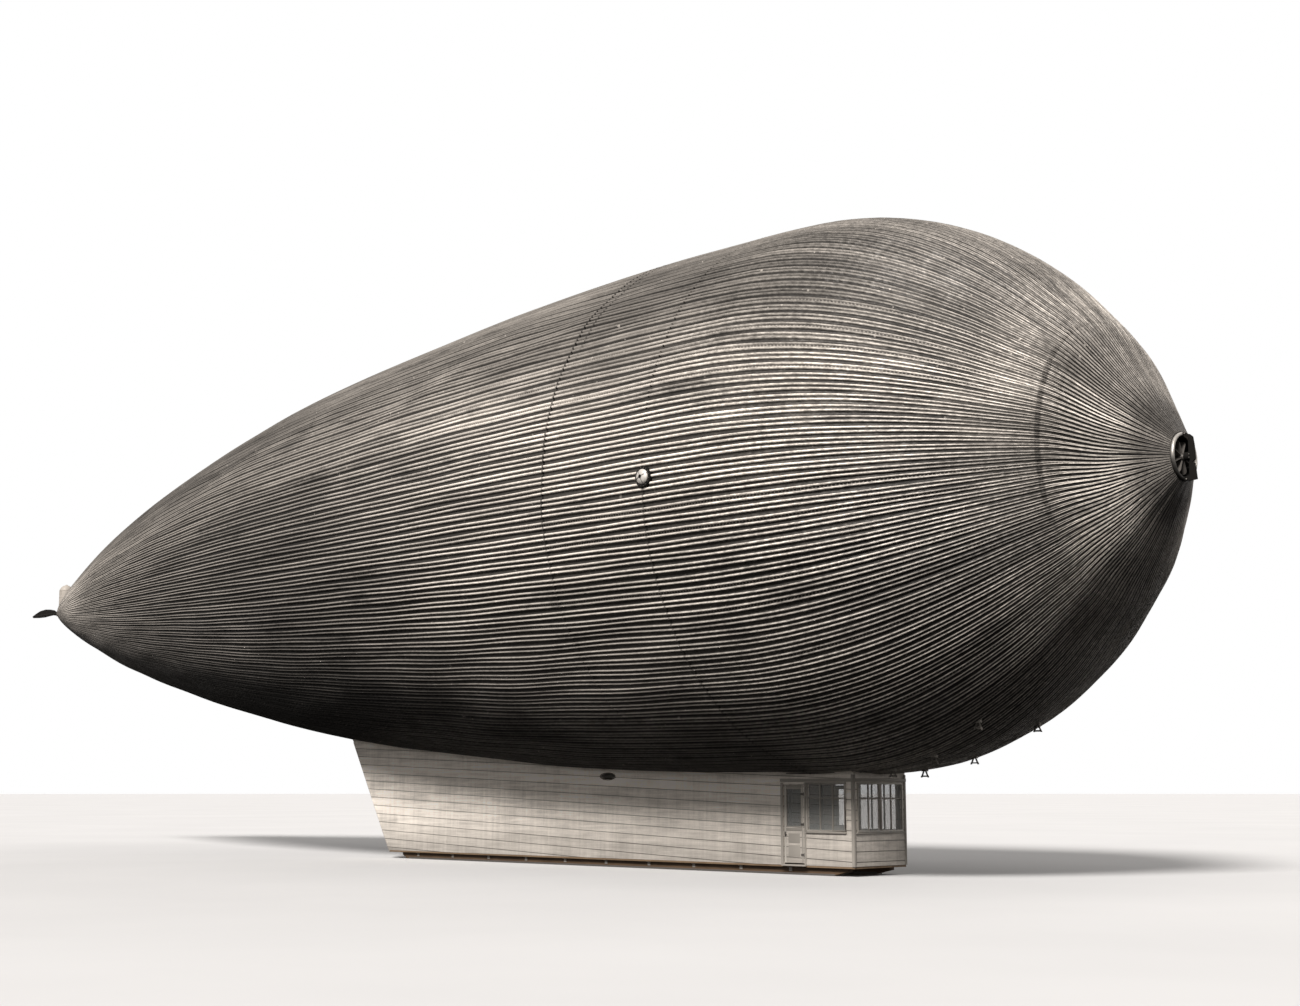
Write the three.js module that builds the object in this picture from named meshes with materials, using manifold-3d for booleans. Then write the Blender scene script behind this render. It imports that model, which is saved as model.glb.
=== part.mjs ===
// Metal-hulled airship with a long keel car, a blower in the nose and a tail vane.
// Scale model at 1:2. Millimetres of the model, +Z up, nose towards +X.
// Lengths in the tables below are metres of the real ship; M turns them into model millimetres.
import * as THREE from 'three';
import { mergeVertices } from 'three/addons/utils/BufferGeometryUtils.js';
import Module from 'manifold-3d';

const wasm = await Module();
wasm.setup();

// ---------- driving dimensions ----------
const SCALE = 1 / 2; // model : real ship
const M = 1000 * SCALE; // model millimetres for one real metre
const GAP = 0.4; // clearance between touching pieces, model mm
const ROUND = 48; // sides of the hull's sections

const AXIS_Z = 11.913; // height of the hull's axis over the ground
const VANE_TIP_X = -2.98; // aftmost point
const BRIDGE_TIP_X = 65.0; // foremost point
const ORIGIN_X = (VANE_TIP_X + BRIDGE_TIP_X) / 2; // middle of the length

const SHELL = 10; // hull plating, model mm
const BAND_THICK = 6; // hoop bands over the seams, model mm
const BAND_HALF = 0.045; // half width of a hoop band, real m

// hull profile: x = station from the tail tip, r = radius (real m)
const HULL = [
  { x: 0.0, r: 0.165 }, { x: 0.48, r: 0.396 }, { x: 0.969, r: 0.632 }, { x: 1.938, r: 1.04 },
  { x: 3.23, r: 1.53 }, { x: 5.168, r: 2.2 }, { x: 7.752, r: 3.03 }, { x: 10.336, r: 3.79 },
  { x: 13.566, r: 4.62 }, { x: 16.796, r: 5.36 }, { x: 20.349, r: 6.1 }, { x: 23.902, r: 6.75 },
  { x: 27.455, r: 7.307 }, { x: 31.008, r: 7.728 }, { x: 34.561, r: 8.065 }, { x: 38.114, r: 8.353 },
  { x: 41.344, r: 8.597 }, { x: 44.574, r: 8.76 }, { x: 47.7, r: 8.83 }, { x: 50.1, r: 8.848 },
  { x: 52.1, r: 8.85 }, { x: 54.264, r: 8.786 }, { x: 55.556, r: 8.62 }, { x: 56.848, r: 8.284 },
  { x: 58.14, r: 7.751 }, { x: 59.432, r: 6.991 }, { x: 60.724, r: 5.978 }, { x: 61.7, r: 4.98 },
  { x: 62.5, r: 4.08 }, { x: 62.985, r: 3.34 }, { x: 63.631, r: 2.32 }, { x: 64.148, r: 1.45 },
  { x: 64.46, r: 0.94 }, { x: 64.6, r: 0.7 },
];
// the hull's centre line hangs a little at both ends: drop in real m between two stations
const SAG = { tail: 0.12, tailFrom: 1.0, tailTo: 26.0, nose: 0.13, noseFrom: 62.99, noseTo: 63.66 };
const ease = (a, b, x) => { const t = Math.min(Math.max((x - a) / (b - a), 0), 1); return t * t * (3 - 2 * t); };
const sag = (x) => SAG.tail * (1 - ease(SAG.tailFrom, SAG.tailTo, x)) + SAG.nose * ease(SAG.noseFrom, SAG.noseTo, x);
// hull shells between the seams: from, to (real m)
const SHELLS = [
  { name: 'tail_cone', from: 0.48, to: 3.23 },
  { name: 'aft_envelope', from: 3.23, to: 47.7 },
  { name: 'mid_envelope', from: 47.7, to: 52.1 },
  { name: 'forward_envelope', from: 52.1, to: 62.5 },
  { name: 'nose_envelope', from: 62.5, to: 64.6 },
];
// hoop bands riveted over the seams
const BANDS = [
  { name: 'seam_band_aft', x: 47.7 },
  { name: 'seam_band_mid', x: 52.1 },
  { name: 'seam_band_nose', x: 62.5 },
];

// nose ring, blower housing, wheel and front bearing bridge
const RING = { outer: 0.69, inner: 0.6, back: 64.42, front: 64.68 };
const HOUSING = { outer: 0.59, inner: 0.565, back: 63.7, front: 64.6, wall: 0.03 };
const BOSS = { r: 0.15, bore: 0.058, from: 63.72, to: 63.95 };
const WHEEL = { disc: 0.5, discFrom: 63.99, discTo: 64.02, hub: 0.11, hubTo: 64.64, shaft: 0.05, shaftFrom: 63.8, shaftTo: 64.76, vanes: 8, vane: 0.014, vaneTo: 64.6 };
const BRIDGE = { half: 0.03, boss: 0.12, bossFrom: 64.67, bossTo: 64.82, bore: 0.058 };

// tail fork and vane
const PIN_X = -0.16;
const FORK = { lug: 0.03, gapHalf: 0.1, halfWidth: 0.07, pin: 0.025 };
const BARREL = { r: 0.055, bore: 0.031, half: 0.085 };

// car under the hull
const CAR = {
  half: 1.3, wall: 0.04, floorLow: 0.24, floorTop: 0.3,
  sternTopX: 27.94, sternTopZ: 4.65, rake: 0.59, front: 53.77, top: 4.9,
};
const SKID = { inner: 0.92, outer: 1.16, back: 31.2, front: 53.4, toe: 0.6 };
const DOOR = { from: 50.95, to: 51.8, low: 0.36, high: 2.8, play: 0.016 };
const DOOR_WINDOW = { from: 51.08, to: 51.67, low: 1.5, high: 2.66 };
const SIDE_WINDOW = { from: 51.98, to: 53.42, low: 1.4, high: 2.8 };
const FRONT_WINDOWS = [
  { name: 'front_glass_right', from: -1.08, to: -0.06 },
  { name: 'front_glass_left', from: 0.06, to: 1.08 },
];
const FRONT_WINDOW_Z = { low: 1.4, high: 2.8 };
const VENT = { x: 42.92, z: 3.1, rx: 0.36, rz: 0.11 };

// small fittings
const VALVE = { x: 52.18, dz: -0.263, flange: 0.3, dome: 0.215, rise: 0.1 };
const HOOD = { x: 0.62, r: 0.34, top: 13.36 };
const EYES = [
  { tag: 1, x: 54.93, y: 0.81 },
  { tag: 2, x: 56.64, y: 1.04 },
  { tag: 3, x: 58.59, y: 1.55 },
];
const SIDES = [
  { tag: 'right', s: -1 },
  { tag: 'left', s: 1 },
];

// ---------- helpers ----------
const X = (x) => (x - ORIGIN_X) * M;
const mm = (v) => v * M;
const V3 = (x, y, z) => new THREE.Vector3(x, y, z);
const EX = V3(1, 0, 0), EY = V3(0, 1, 0), EZ = V3(0, 0, 1);
const NEG = (v) => v.clone().negate();

function hullRadius(x) { // real m, on the faceted profile
  for (let i = 1; i < HULL.length; i++) {
    if (x <= HULL[i].x) {
      const a = HULL[i - 1], b = HULL[i];
      return a.r + (b.r - a.r) * (x - a.x) / (b.x - a.x);
    }
  }
  return HULL[HULL.length - 1].r;
}
function stations(from, to) {
  return [from, ...HULL.map((p) => p.x).filter((x) => x > from + 1e-6 && x < to - 1e-6), to];
}
function outward(geometry) { // faces point out of the solid
  let g = geometry.index ? geometry.toNonIndexed() : geometry;
  g.deleteAttribute('normal');
  g.deleteAttribute('uv');
  g = mergeVertices(g, 1e-3);
  const p = g.attributes.position, ix = g.index.array;
  let vol = 0;
  const keep = [];
  const a = V3(), b = V3(), c = V3();
  for (let i = 0; i < ix.length; i += 3) {
    if (ix[i] === ix[i + 1] || ix[i + 1] === ix[i + 2] || ix[i] === ix[i + 2]) continue;
    a.fromBufferAttribute(p, ix[i]); b.fromBufferAttribute(p, ix[i + 1]); c.fromBufferAttribute(p, ix[i + 2]);
    vol += a.dot(b.cross(c));
    keep.push(ix[i], ix[i + 1], ix[i + 2]);
  }
  if (vol < 0) for (let i = 0; i < keep.length; i += 3) [keep[i + 1], keep[i + 2]] = [keep[i + 2], keep[i + 1]];
  g.setIndex(keep);
  return g;
}
function solid(geometry) {
  const g = outward(geometry);
  return new wasm.Manifold(new wasm.Mesh({
    numProp: 3,
    vertProperties: new Float32Array(g.attributes.position.array),
    triVerts: new Uint32Array(g.index.array),
  }));
}
function geometryOf(body) {
  const mesh = body.getMesh();
  const g = new THREE.BufferGeometry();
  g.setAttribute('position', new THREE.BufferAttribute(new Float32Array(mesh.vertProperties), 3));
  g.setIndex(Array.from(mesh.triVerts));
  return g;
}
const join = (...bodies) => bodies.reduce((a, b) => a.add(b));
const cut = (body, ...tools) => tools.reduce((a, b) => a.subtract(b), body);

// lathe about the hull's axis: points are [x mm, r mm]
function lathe(points, sides = ROUND) {
  const g = new THREE.LatheGeometry(points.map(([x, r]) => new THREE.Vector2(r, x)), sides);
  g.applyMatrix4(new THREE.Matrix4().makeBasis(EZ, EX, EY).setPosition(0, 0, mm(AXIS_Z)));
  return g;
}
// disc or tube-like lathe on another axis; points are [along, r]
function latheOn(points, sides, origin, along, across) {
  const third = across.clone().cross(along);
  const g = new THREE.LatheGeometry(points.map(([h, r]) => new THREE.Vector2(r, h)), sides);
  g.applyMatrix4(new THREE.Matrix4().makeBasis(across, along, third).setPosition(origin));
  return g;
}
function prism(points, basisA, basisB, low, high, holes = []) { // outline in A,B; extruded along A x B
  const dir = basisA.clone().cross(basisB);
  const extrude = (q, from, to) => {
    const g = new THREE.ExtrudeGeometry(new THREE.Shape(q.map(([a, b]) => new THREE.Vector2(a, b))), { depth: to - from, bevelEnabled: false, steps: 1 });
    return g.applyMatrix4(new THREE.Matrix4().makeBasis(basisA, basisB, dir).setPosition(dir.clone().multiplyScalar(from)));
  };
  const plate = extrude(points, low, high);
  return holes.length ? geometryOf(cut(solid(plate), ...holes.map((h) => solid(extrude(h, low - 5, high + 5))))) : plate;
}
// outline in X,Z (real m), between two Y planes (real m)
function plateXZ(points, y0, y1, holes = []) {
  const map = (q) => q.map(([x, z]) => [X(x), mm(z)]);
  return prism(map(points), EX, EZ, mm(-y1), mm(-y0), holes.map(map));
}
// outline in Y,Z (real m), between two X planes (real m)
function plateYZ(points, x0, x1, holes = []) {
  const map = (q) => q.map(([y, z]) => [mm(y), mm(z)]);
  return prism(map(points), EY, EZ, X(x0), X(x1), holes.map(map));
}
const rect = (a0, a1, b0, b1) => [[a0, b0], [a1, b0], [a1, b1], [a0, b1]];
function block(x0, x1, y0, y1, z0, z1) { // real m
  const g = new THREE.BoxGeometry(mm(x1 - x0), mm(y1 - y0), mm(z1 - z0));
  g.translate((X(x0) + X(x1)) / 2, mm(y0 + y1) / 2, mm(z0 + z1) / 2);
  return g;
}
function ellipse(cx, cz, rx, rz, n) {
  return Array.from({ length: n }, (_, i) => {
    const t = (i / n) * 2 * Math.PI;
    return [cx + rx * Math.cos(t), cz + rz * Math.sin(t)];
  });
}

// ---------- materials ----------
const paint = (color, roughness, metalness) => new THREE.MeshStandardMaterial({ color, roughness, metalness });
const MAT = {
  hull: paint(0x8a847b, 0.5, 0.8),
  band: paint(0x5d5851, 0.55, 0.7),
  ring: paint(0xb9b4aa, 0.4, 0.8),
  dark: paint(0x2c2a28, 0.6, 0.5),
  car: paint(0xa6a096, 0.6, 0.4),
  trim: paint(0x6b665e, 0.6, 0.4),
  floor: paint(0x7a6a55, 0.8, 0.0),
  bench: paint(0x5f4630, 0.7, 0.0),
  engine: paint(0x3a3a38, 0.6, 0.4),
  glass: new THREE.MeshStandardMaterial({ color: 0x9fb0b0, roughness: 0.1, metalness: 0, transparent: true, opacity: 0.35 }),
};
const airship = new THREE.Group();
function add(name, geometry, material) {
  const p = geometry.attributes.position;
  for (let i = 0; i < p.count; i++) p.setZ(i, p.getZ(i) - mm(sag(p.getX(i) / M + ORIGIN_X)));
  const mesh = new THREE.Mesh(outward(geometry), material);
  mesh.name = name;
  airship.add(mesh);
}

// ---------- hull shells, bands, tail cap ----------
for (const { name, from, to } of SHELLS) {
  const xs = stations(from, to);
  const trim = (x) => (x === from ? X(x) + GAP / 2 : x === to ? X(x) - GAP / 2 : X(x));
  const outer = xs.map((x) => [trim(x), mm(hullRadius(x))]);
  const inner = xs.map((x) => [trim(x), mm(hullRadius(x)) - SHELL]).reverse();
  add(name, lathe([...outer, ...inner, outer[0]]), MAT.hull);
}
function bandProfile(x, over, lift) { // hoop over a seam: inner face lift mm off the plating
  const a = x - BAND_HALF, b = x + BAND_HALF;
  const line = (q, h) => [X(q), mm(hullRadius(q)) + h];
  const low = [line(a, lift), line(x, lift), line(b, lift)];
  return [...low, line(b, over), line(x, over), line(a, over), low[0]];
}
for (const { name, x } of BANDS) add(name, lathe(bandProfile(x, BAND_THICK, GAP)), MAT.band);
const hullBody = (lift) => solid(lathe([
  [X(HULL[0].x), 0], ...HULL.map(({ x, r }) => [X(x), mm(r) + lift]), [X(64.6), 0],
]));
const hullCutter = join(hullBody(GAP), ...BANDS.map(({ x }) => solid(lathe(bandProfile(x, BAND_THICK + GAP, -5)))));

{ // solid cap that closes the tail, with a flat aft face
  const end = 0.48;
  add('tail_cap', lathe([
    [X(-0.04), 0], [X(-0.04), mm(0.16)], [X(0.0), mm(0.165)],
    [X(end) - GAP, mm(hullRadius(end))], [X(end) - GAP, mm(hullRadius(end)) - SHELL], [X(end) - GAP, 0],
  ], 24), MAT.dark);
}

// ---------- nose ring, blower ----------
add('nose_ring', lathe([
  [X(RING.back), mm(RING.inner)], [X(RING.front), mm(RING.inner)], [X(RING.front), mm(RING.outer)],
  [X(64.6) + GAP, mm(RING.outer)], [X(64.6) + GAP, mm(0.66)], [X(RING.back), mm(0.66)], [X(RING.back), mm(RING.inner)],
]), MAT.ring);
{
  const h = HOUSING, b = BOSS;
  add('blower_housing', lathe([
    [X(h.back), 0], [X(h.back), mm(h.outer)], [X(h.front), mm(h.outer)], [X(h.front), mm(h.inner)],
    [X(h.back + h.wall), mm(h.inner)], [X(h.back + h.wall), mm(b.r)], [X(b.to), mm(b.r)], [X(b.to), mm(b.bore)],
    [X(h.back + h.wall), mm(b.bore)], [X(h.back + h.wall), 0],
  ], 32), MAT.dark);
}
{
  const w = WHEEL;
  let wheel = solid(lathe([
    [X(w.shaftFrom), 0], [X(w.shaftFrom), mm(w.shaft)], [X(w.discFrom), mm(w.shaft)], [X(w.discFrom), mm(w.disc)],
    [X(w.discTo), mm(w.disc)], [X(w.discTo), mm(w.hub)], [X(w.hubTo), mm(w.hub)], [X(w.hubTo), mm(w.shaft)],
    [X(w.shaftTo), mm(w.shaft)], [X(w.shaftTo), 0],
  ], 24));
  for (let i = 0; i < w.vanes; i++) {
    const g = plateXZ([
      [w.discTo - 0.02, w.hub - 0.03], [w.vaneTo, w.hub - 0.03], [w.vaneTo, w.disc - 0.06], [w.vaneTo - 0.08, w.disc], [w.discTo - 0.02, w.disc],
    ], -w.vane / 2, w.vane / 2);
    g.rotateX((i + 0.5) / w.vanes * 2 * Math.PI);
    g.translate(0, 0, mm(AXIS_Z));
    wheel = join(wheel, solid(g));
  }
  add('blower_wheel', geometryOf(wheel), MAT.dark);
}
{ // upright plate across the mouth that carries the front bearing
  const z = (h) => AXIS_Z + h;
  const b = BRIDGE, face = RING.front + GAP / M;
  const plate = solid(plateXZ([
    [face, z(-0.66)], [face + 0.1, z(-0.69)], [BRIDGE_TIP_X, z(-0.67)], [64.955, z(-0.22)], [64.88, z(-0.17)],
    [64.975, z(-0.1)], [64.955, z(0.3)], [64.92, z(0.54)], [64.83, z(0.62)], [face, z(0.65)],
    [face, z(0.612)], [64.78, z(0.54)], [64.78, z(-0.54)], [face, z(-0.612)],
  ], -b.half, b.half));
  const boss = solid(lathe([[X(b.bossFrom), 0], [X(b.bossFrom), mm(b.boss)], [X(b.bossTo), mm(b.boss)], [X(b.bossTo), 0]], 24));
  const bore = solid(lathe([[X(b.bossFrom) - 5, 0], [X(b.bossFrom) - 5, mm(b.bore)], [X(64.79), mm(b.bore)], [X(64.79), 0]], 24));
  const feet = [-1, 1].map((s) => solid(block(face, face + 0.03, -0.13, 0.13, z(s * 0.645) - 0.035, z(s * 0.645) + 0.035)));
  add('bearing_bridge', geometryOf(cut(join(plate, boss, ...feet), bore)), MAT.dark);
}

// ---------- tail fork and vane ----------
{
  const f = FORK, z = (h) => AXIS_Z + h;
  const base = solid(block(-0.075, -0.042, -f.halfWidth, f.halfWidth, z(-0.135), z(0.135)));
  const lugs = [1, -1].map((s) => {
    const a = z(s * f.gapHalf), b = z(s * (f.gapHalf + f.lug));
    return solid(block(PIN_X - 0.055, -0.05, -0.05, 0.05, Math.min(a, b), Math.max(a, b)));
  });
  const pin = solid(latheOn([[mm(-0.125), 0], [mm(-0.125), mm(f.pin)], [mm(0.125), mm(f.pin)], [mm(0.125), 0]], 16, V3(X(PIN_X), 0, mm(AXIS_Z)), EZ, EX));
  add('tail_fork', geometryOf(join(base, ...lugs, pin)), MAT.dark);

  const b = BARREL;
  const tube = solid(latheOn([[mm(-b.half), 0], [mm(-b.half), mm(b.r)], [mm(b.half), mm(b.r)], [mm(b.half), 0]], 16, V3(X(PIN_X), 0, mm(AXIS_Z)), EZ, EX));
  const bore = solid(latheOn([[mm(-0.2), 0], [mm(-0.2), mm(b.bore)], [mm(0.2), mm(b.bore)], [mm(0.2), 0]], 16, V3(X(PIN_X), 0, mm(AXIS_Z)), EZ, EX));
  // leaf outline: x along the ship, z over the axis (real m)
  const leaf = solid(plateXZ([
    [PIN_X - 0.02, z(0.075)], [-0.31, z(0.1)], [-0.55, z(0.2)], [-1.0, z(0.27)], [-1.55, z(0.31)], [-2.1, z(0.27)], [-2.6, z(0.15)],
    [VANE_TIP_X, z(0.03)], [-2.86, z(-0.03)], [-2.2, z(-0.07)], [-1.55, z(-0.08)], [-1.1, z(-0.05)], [-0.65, z(-0.03)], [PIN_X - 0.02, z(-0.07)],
  ], -0.012, 0.012));
  add('tail_vane', geometryOf(cut(join(tube, leaf), bore)), MAT.dark);
}
{ // upright valve hood with a domed top on the tail cone
  const h = HOOD, z = (q) => mm(q - AXIS_Z);
  const foot = AXIS_Z + 0.2;
  const dome = solid(latheOn([
    [z(foot), 0], [z(foot), mm(h.r)], [z(h.top) - mm(0.3), mm(h.r)], [z(h.top) - mm(0.14), mm(h.r * 0.86)],
    [z(h.top) - mm(0.04), mm(h.r * 0.55)], [z(h.top), mm(h.r * 0.2)], [z(h.top), 0],
  ], 24, V3(X(h.x), 0, mm(AXIS_Z)), EZ, EX));
  add('tail_valve_hood', geometryOf(cut(dome, hullCutter)), MAT.ring);
}

// ---------- side valves and line eyes ----------
for (const { tag, s } of SIDES) {
  const v = VALVE, y0 = mm(8.7), y1 = mm(8.88);
  const valve = solid(latheOn([
    [y0, 0], [y0, mm(v.flange)], [y1, mm(v.flange)], [y1 + 4, mm(v.flange - 0.02)], [y1 + 4, mm(v.dome)],
    [y1 + mm(v.rise) * 0.6, mm(v.dome * 0.85)], [y1 + mm(v.rise) * 0.9, mm(v.dome * 0.5)], [y1 + mm(v.rise), mm(0.05)],
    [y1 + mm(v.rise) + 8, mm(0.05)], [y1 + mm(v.rise) + 8, 0],
  ], 24, V3(X(v.x), 0, mm(AXIS_Z + v.dz)), s > 0 ? EY : NEG(EY), EX));
  add(`side_valve_${tag}`, geometryOf(cut(valve, hullCutter)), MAT.ring);

  for (const e of EYES) { // splayed two-legged lug that a handling line passes through
    const r = hullRadius(e.x), z = AXIS_Z - Math.sqrt(r * r - e.y * e.y);
    const y = s * e.y;
    const pad = solid(block(e.x - 0.1, e.x + 0.1, y - 0.05, y + 0.05, z - 0.05, z + 0.12));
    const legs = [-1, 1].map((k) => solid(plateXZ([
      [e.x + k * 0.01, z - 0.03], [e.x + k * 0.05, z - 0.03], [e.x + k * 0.15, z - 0.24], [e.x + k * 0.11, z - 0.24],
    ], y - 0.02, y + 0.02)));
    const bar = solid(block(e.x - 0.13, e.x + 0.13, y - 0.015, y + 0.015, z - 0.2, z - 0.175));
    add(`line_eye_${tag}_${e.tag}`, geometryOf(cut(join(pad, ...legs, bar), hullCutter)), MAT.band);
  }
}

// ---------- car ----------
const g = GAP / M; // the clearance in real metres
const sternX = (z) => CAR.sternTopX + CAR.rake * (CAR.sternTopZ - z); // raked aft edge
{
  const c = CAR;
  const doorHole = rect(DOOR.from, DOOR.to, DOOR.low - 0.06 + 0.02, DOOR.high);
  const windowHole = rect(SIDE_WINDOW.from, SIDE_WINDOW.to, SIDE_WINDOW.low, SIDE_WINDOW.high);
  const ventHole = ellipse(VENT.x, VENT.z, VENT.rx, VENT.rz, 16);
  for (const { tag, s } of SIDES) {
    const ys = s < 0 ? [-c.half, -c.half + c.wall] : [c.half - c.wall, c.half];
    const wall = solid(plateXZ([
      [sternX(c.floorTop + g), c.floorTop + g], [c.front, c.floorTop + g], [c.front, c.top], [sternX(c.top), c.top],
    ], ys[0], ys[1], [doorHole, windowHole, ventHole]));
    add(`car_wall_${tag}`, geometryOf(cut(wall, hullCutter)), MAT.car);

    // door leaf with its window hole
    const p = DOOR.play, d = DOOR, w = DOOR_WINDOW;
    add(`door_${tag}`, plateXZ(rect(d.from + p, d.to - p, d.low, d.high - p), ys[0], ys[1],
      [rect(w.from, w.to, w.low, w.high)]), MAT.trim);
    const pane = (q) => rect(q.from + g, q.to - g, q.low + g, q.high - g);
    const mid = (ys[0] + ys[1]) / 2;
    add(`door_glass_${tag}`, plateXZ(pane(w), mid - 0.006, mid + 0.006), MAT.glass);
    add(`side_glass_${tag}`, plateXZ(pane(SIDE_WINDOW), mid - 0.006, mid + 0.006), MAT.glass);

    // runner that the ship stands on, toe turned up
    const k = SKID, ks = s < 0 ? [-k.outer, -k.inner] : [k.inner, k.outer];
    add(`skid_${tag}`, plateXZ([
      [k.back + 0.3, 0], [k.front - k.toe, 0], [k.front, 0.14], [k.front, c.floorLow - g], [k.back, c.floorLow - g], [k.back, 0.14],
    ], ks[0], ks[1]), MAT.trim);

    // bench along the wall of the passenger cabin
    const bs = s < 0 ? [-1.22, -0.78] : [0.78, 1.22];
    add(`bench_${tag}`, plateYZ(s < 0
      ? [[-1.22, 0.302], [-0.78, 0.302], [-0.78, 0.74], [-1.14, 0.74], [-1.18, 1.25], [-1.22, 1.25]]
      : [[0.78, 0.302], [1.22, 0.302], [1.22, 1.25], [1.18, 1.25], [1.14, 0.74], [0.78, 0.74]], 44.2, 50.2), MAT.bench);
  }
  add('car_floor', plateXZ([
    [sternX(c.floorLow), c.floorLow], [c.front, c.floorLow], [c.front, c.floorTop], [sternX(c.floorTop), c.floorTop],
  ], -c.half, c.half), MAT.floor);

  // raked stern wall between the side walls
  const inY = c.half - c.wall - g;
  const t = c.wall / Math.cos(Math.atan(c.rake));
  add('car_stern_wall', geometryOf(cut(solid(plateXZ([
    [sternX(c.floorTop + g), c.floorTop + g], [sternX(c.floorTop + g) + t, c.floorTop + g], [sternX(c.top) + t, c.top], [sternX(c.top), c.top],
  ], -inY, inY)), hullCutter)), MAT.car);

  // front wall with two windows
  add('car_front_wall', geometryOf(cut(solid(plateYZ(rect(-inY, inY, c.floorTop + g, c.top), c.front - c.wall, c.front,
    FRONT_WINDOWS.map((w) => rect(w.from, w.to, FRONT_WINDOW_Z.low, FRONT_WINDOW_Z.high)))), hullCutter)), MAT.car);
  for (const w of FRONT_WINDOWS) {
    const mid = c.front - c.wall / 2;
    add(w.name, plateYZ(rect(w.from + g, w.to - g, FRONT_WINDOW_Z.low + g, FRONT_WINDOW_Z.high - g), mid - 0.006, mid + 0.006), MAT.glass);
  }

  // bulkhead between machinery room and passenger cabin, with a doorway
  add('cabin_bulkhead', geometryOf(cut(solid(plateYZ([
    [-inY, c.floorTop + g], [-0.4, c.floorTop + g], [-0.4, 2.2], [0.4, 2.2], [0.4, c.floorTop + g], [inY, c.floorTop + g], [inY, c.top], [-inY, c.top],
  ], 40.0, 40.04)), hullCutter)), MAT.car);

  // power plant, a plain mass on the floor
  add('power_plant', block(33.4, 37.2, -0.7, 0.7, c.floorTop + g, 1.85), MAT.engine);
  // helmsman's stand behind the front windows
  const stand = solid(block(52.95, 53.15, -0.12, 0.12, c.floorTop + g, 1.1));
  const rim = solid(latheOn([[0, mm(0.2)], [0, mm(0.25)], [mm(0.03), mm(0.25)], [mm(0.03), mm(0.2)], [0, mm(0.2)]], 20, V3(X(52.9), 0, mm(1.2)), EX, EZ));
  const bars = [0, 1].map((k) => solid(k ? block(52.9, 52.93, -0.22, 0.22, 1.185, 1.215) : block(52.9, 52.93, -0.015, 0.015, 0.98, 1.42)));
  const nut = solid(block(52.9, 53.1, -0.03, 0.03, 1.0, 1.215));
  add('helm_stand', geometryOf(join(stand, rim, ...bars, nut)), MAT.dark);
}

export default airship;
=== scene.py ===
# Looks of the metal-hulled airship: corrugated plating, seams, blower, tail vane, valves and keel car,
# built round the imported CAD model. Metres, nose towards +X, ship's left +Y, +Z up. Model scale 1:2.
import math

import bmesh
import bpy
import numpy as np
from mathutils import Matrix, Vector


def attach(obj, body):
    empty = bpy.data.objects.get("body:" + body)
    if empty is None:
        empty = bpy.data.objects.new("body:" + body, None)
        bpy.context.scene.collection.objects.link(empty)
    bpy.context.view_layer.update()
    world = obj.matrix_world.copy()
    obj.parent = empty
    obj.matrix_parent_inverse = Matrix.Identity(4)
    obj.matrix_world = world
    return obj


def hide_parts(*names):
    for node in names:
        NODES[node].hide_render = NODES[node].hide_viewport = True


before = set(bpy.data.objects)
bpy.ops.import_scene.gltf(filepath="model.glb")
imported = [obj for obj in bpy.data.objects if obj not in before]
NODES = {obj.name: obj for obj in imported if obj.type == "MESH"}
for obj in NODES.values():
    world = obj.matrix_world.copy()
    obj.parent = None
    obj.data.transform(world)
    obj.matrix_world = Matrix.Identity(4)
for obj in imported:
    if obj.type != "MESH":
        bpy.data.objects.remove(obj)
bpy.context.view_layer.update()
RNG = np.random.default_rng(11)

S = 0.5  # model : real ship
AXIS = 11.913 * S


def X(x):  # station in real metres from the tail tip -> model x
    return (x - 31.01) * S


# hull profile, real metres: station, radius
HULL = np.array([
    (0, .165), (.48, .396), (.969, .632), (1.938, 1.04), (3.23, 1.53), (5.168, 2.2), (7.752, 3.03), (10.336, 3.79),
    (13.566, 4.62), (16.796, 5.36), (20.349, 6.1), (23.902, 6.75), (27.455, 7.307), (31.008, 7.728), (34.561, 8.065),
    (38.114, 8.353), (41.344, 8.597), (44.574, 8.76), (47.7, 8.83), (50.1, 8.848), (52.1, 8.85), (54.264, 8.786),
    (55.556, 8.62), (56.848, 8.284), (58.14, 7.751), (59.432, 6.991), (60.724, 5.978), (61.7, 4.98), (62.5, 4.08),
    (62.985, 3.34), (63.631, 2.32), (64.148, 1.45), (64.46, .94), (64.6, .7)])


def monotone(xs, ys):
    """Smooth monotone curve through the points."""
    h = np.diff(xs)
    d = np.diff(ys) / h
    m = np.zeros(len(xs))
    m[0], m[-1] = d[0], d[-1]
    for i in range(1, len(xs) - 1):
        if d[i - 1] * d[i] > 0:
            w1, w2 = 2 * h[i] + h[i - 1], h[i] + 2 * h[i - 1]
            m[i] = (w1 + w2) / (w1 / d[i - 1] + w2 / d[i])

    def at(x):
        x = np.clip(np.asarray(x, float), xs[0], xs[-1])
        i = np.clip(np.searchsorted(xs, x, side="right") - 1, 0, len(h) - 1)
        t = (x - xs[i]) / h[i]
        return ((1 + 2 * t) * (1 - t) ** 2 * ys[i] + t * (1 - t) ** 2 * h[i] * m[i]
                + t * t * (3 - 2 * t) * ys[i + 1] + t * t * (t - 1) * h[i] * m[i + 1])
    return at


hull_r = monotone(HULL[:, 0], HULL[:, 1])
_x = np.linspace(0, 64.6, 6461)
_r = hull_r(_x)
_arc = np.concatenate([[0], np.cumsum(np.hypot(np.diff(_x), np.diff(_r)))])


def arc_of(x):
    return np.interp(x, _x, _arc)


def stations(x0, x1, n):
    """n + 1 stations, evenly spaced along the skin."""
    return np.interp(np.linspace(arc_of(x0), arc_of(x1), n + 1), _arc, _x)


def step(a, b, x):
    t = np.clip((np.asarray(x, float) - a) / (b - a), 0, 1)
    return t * t * (3 - 2 * t)


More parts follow.
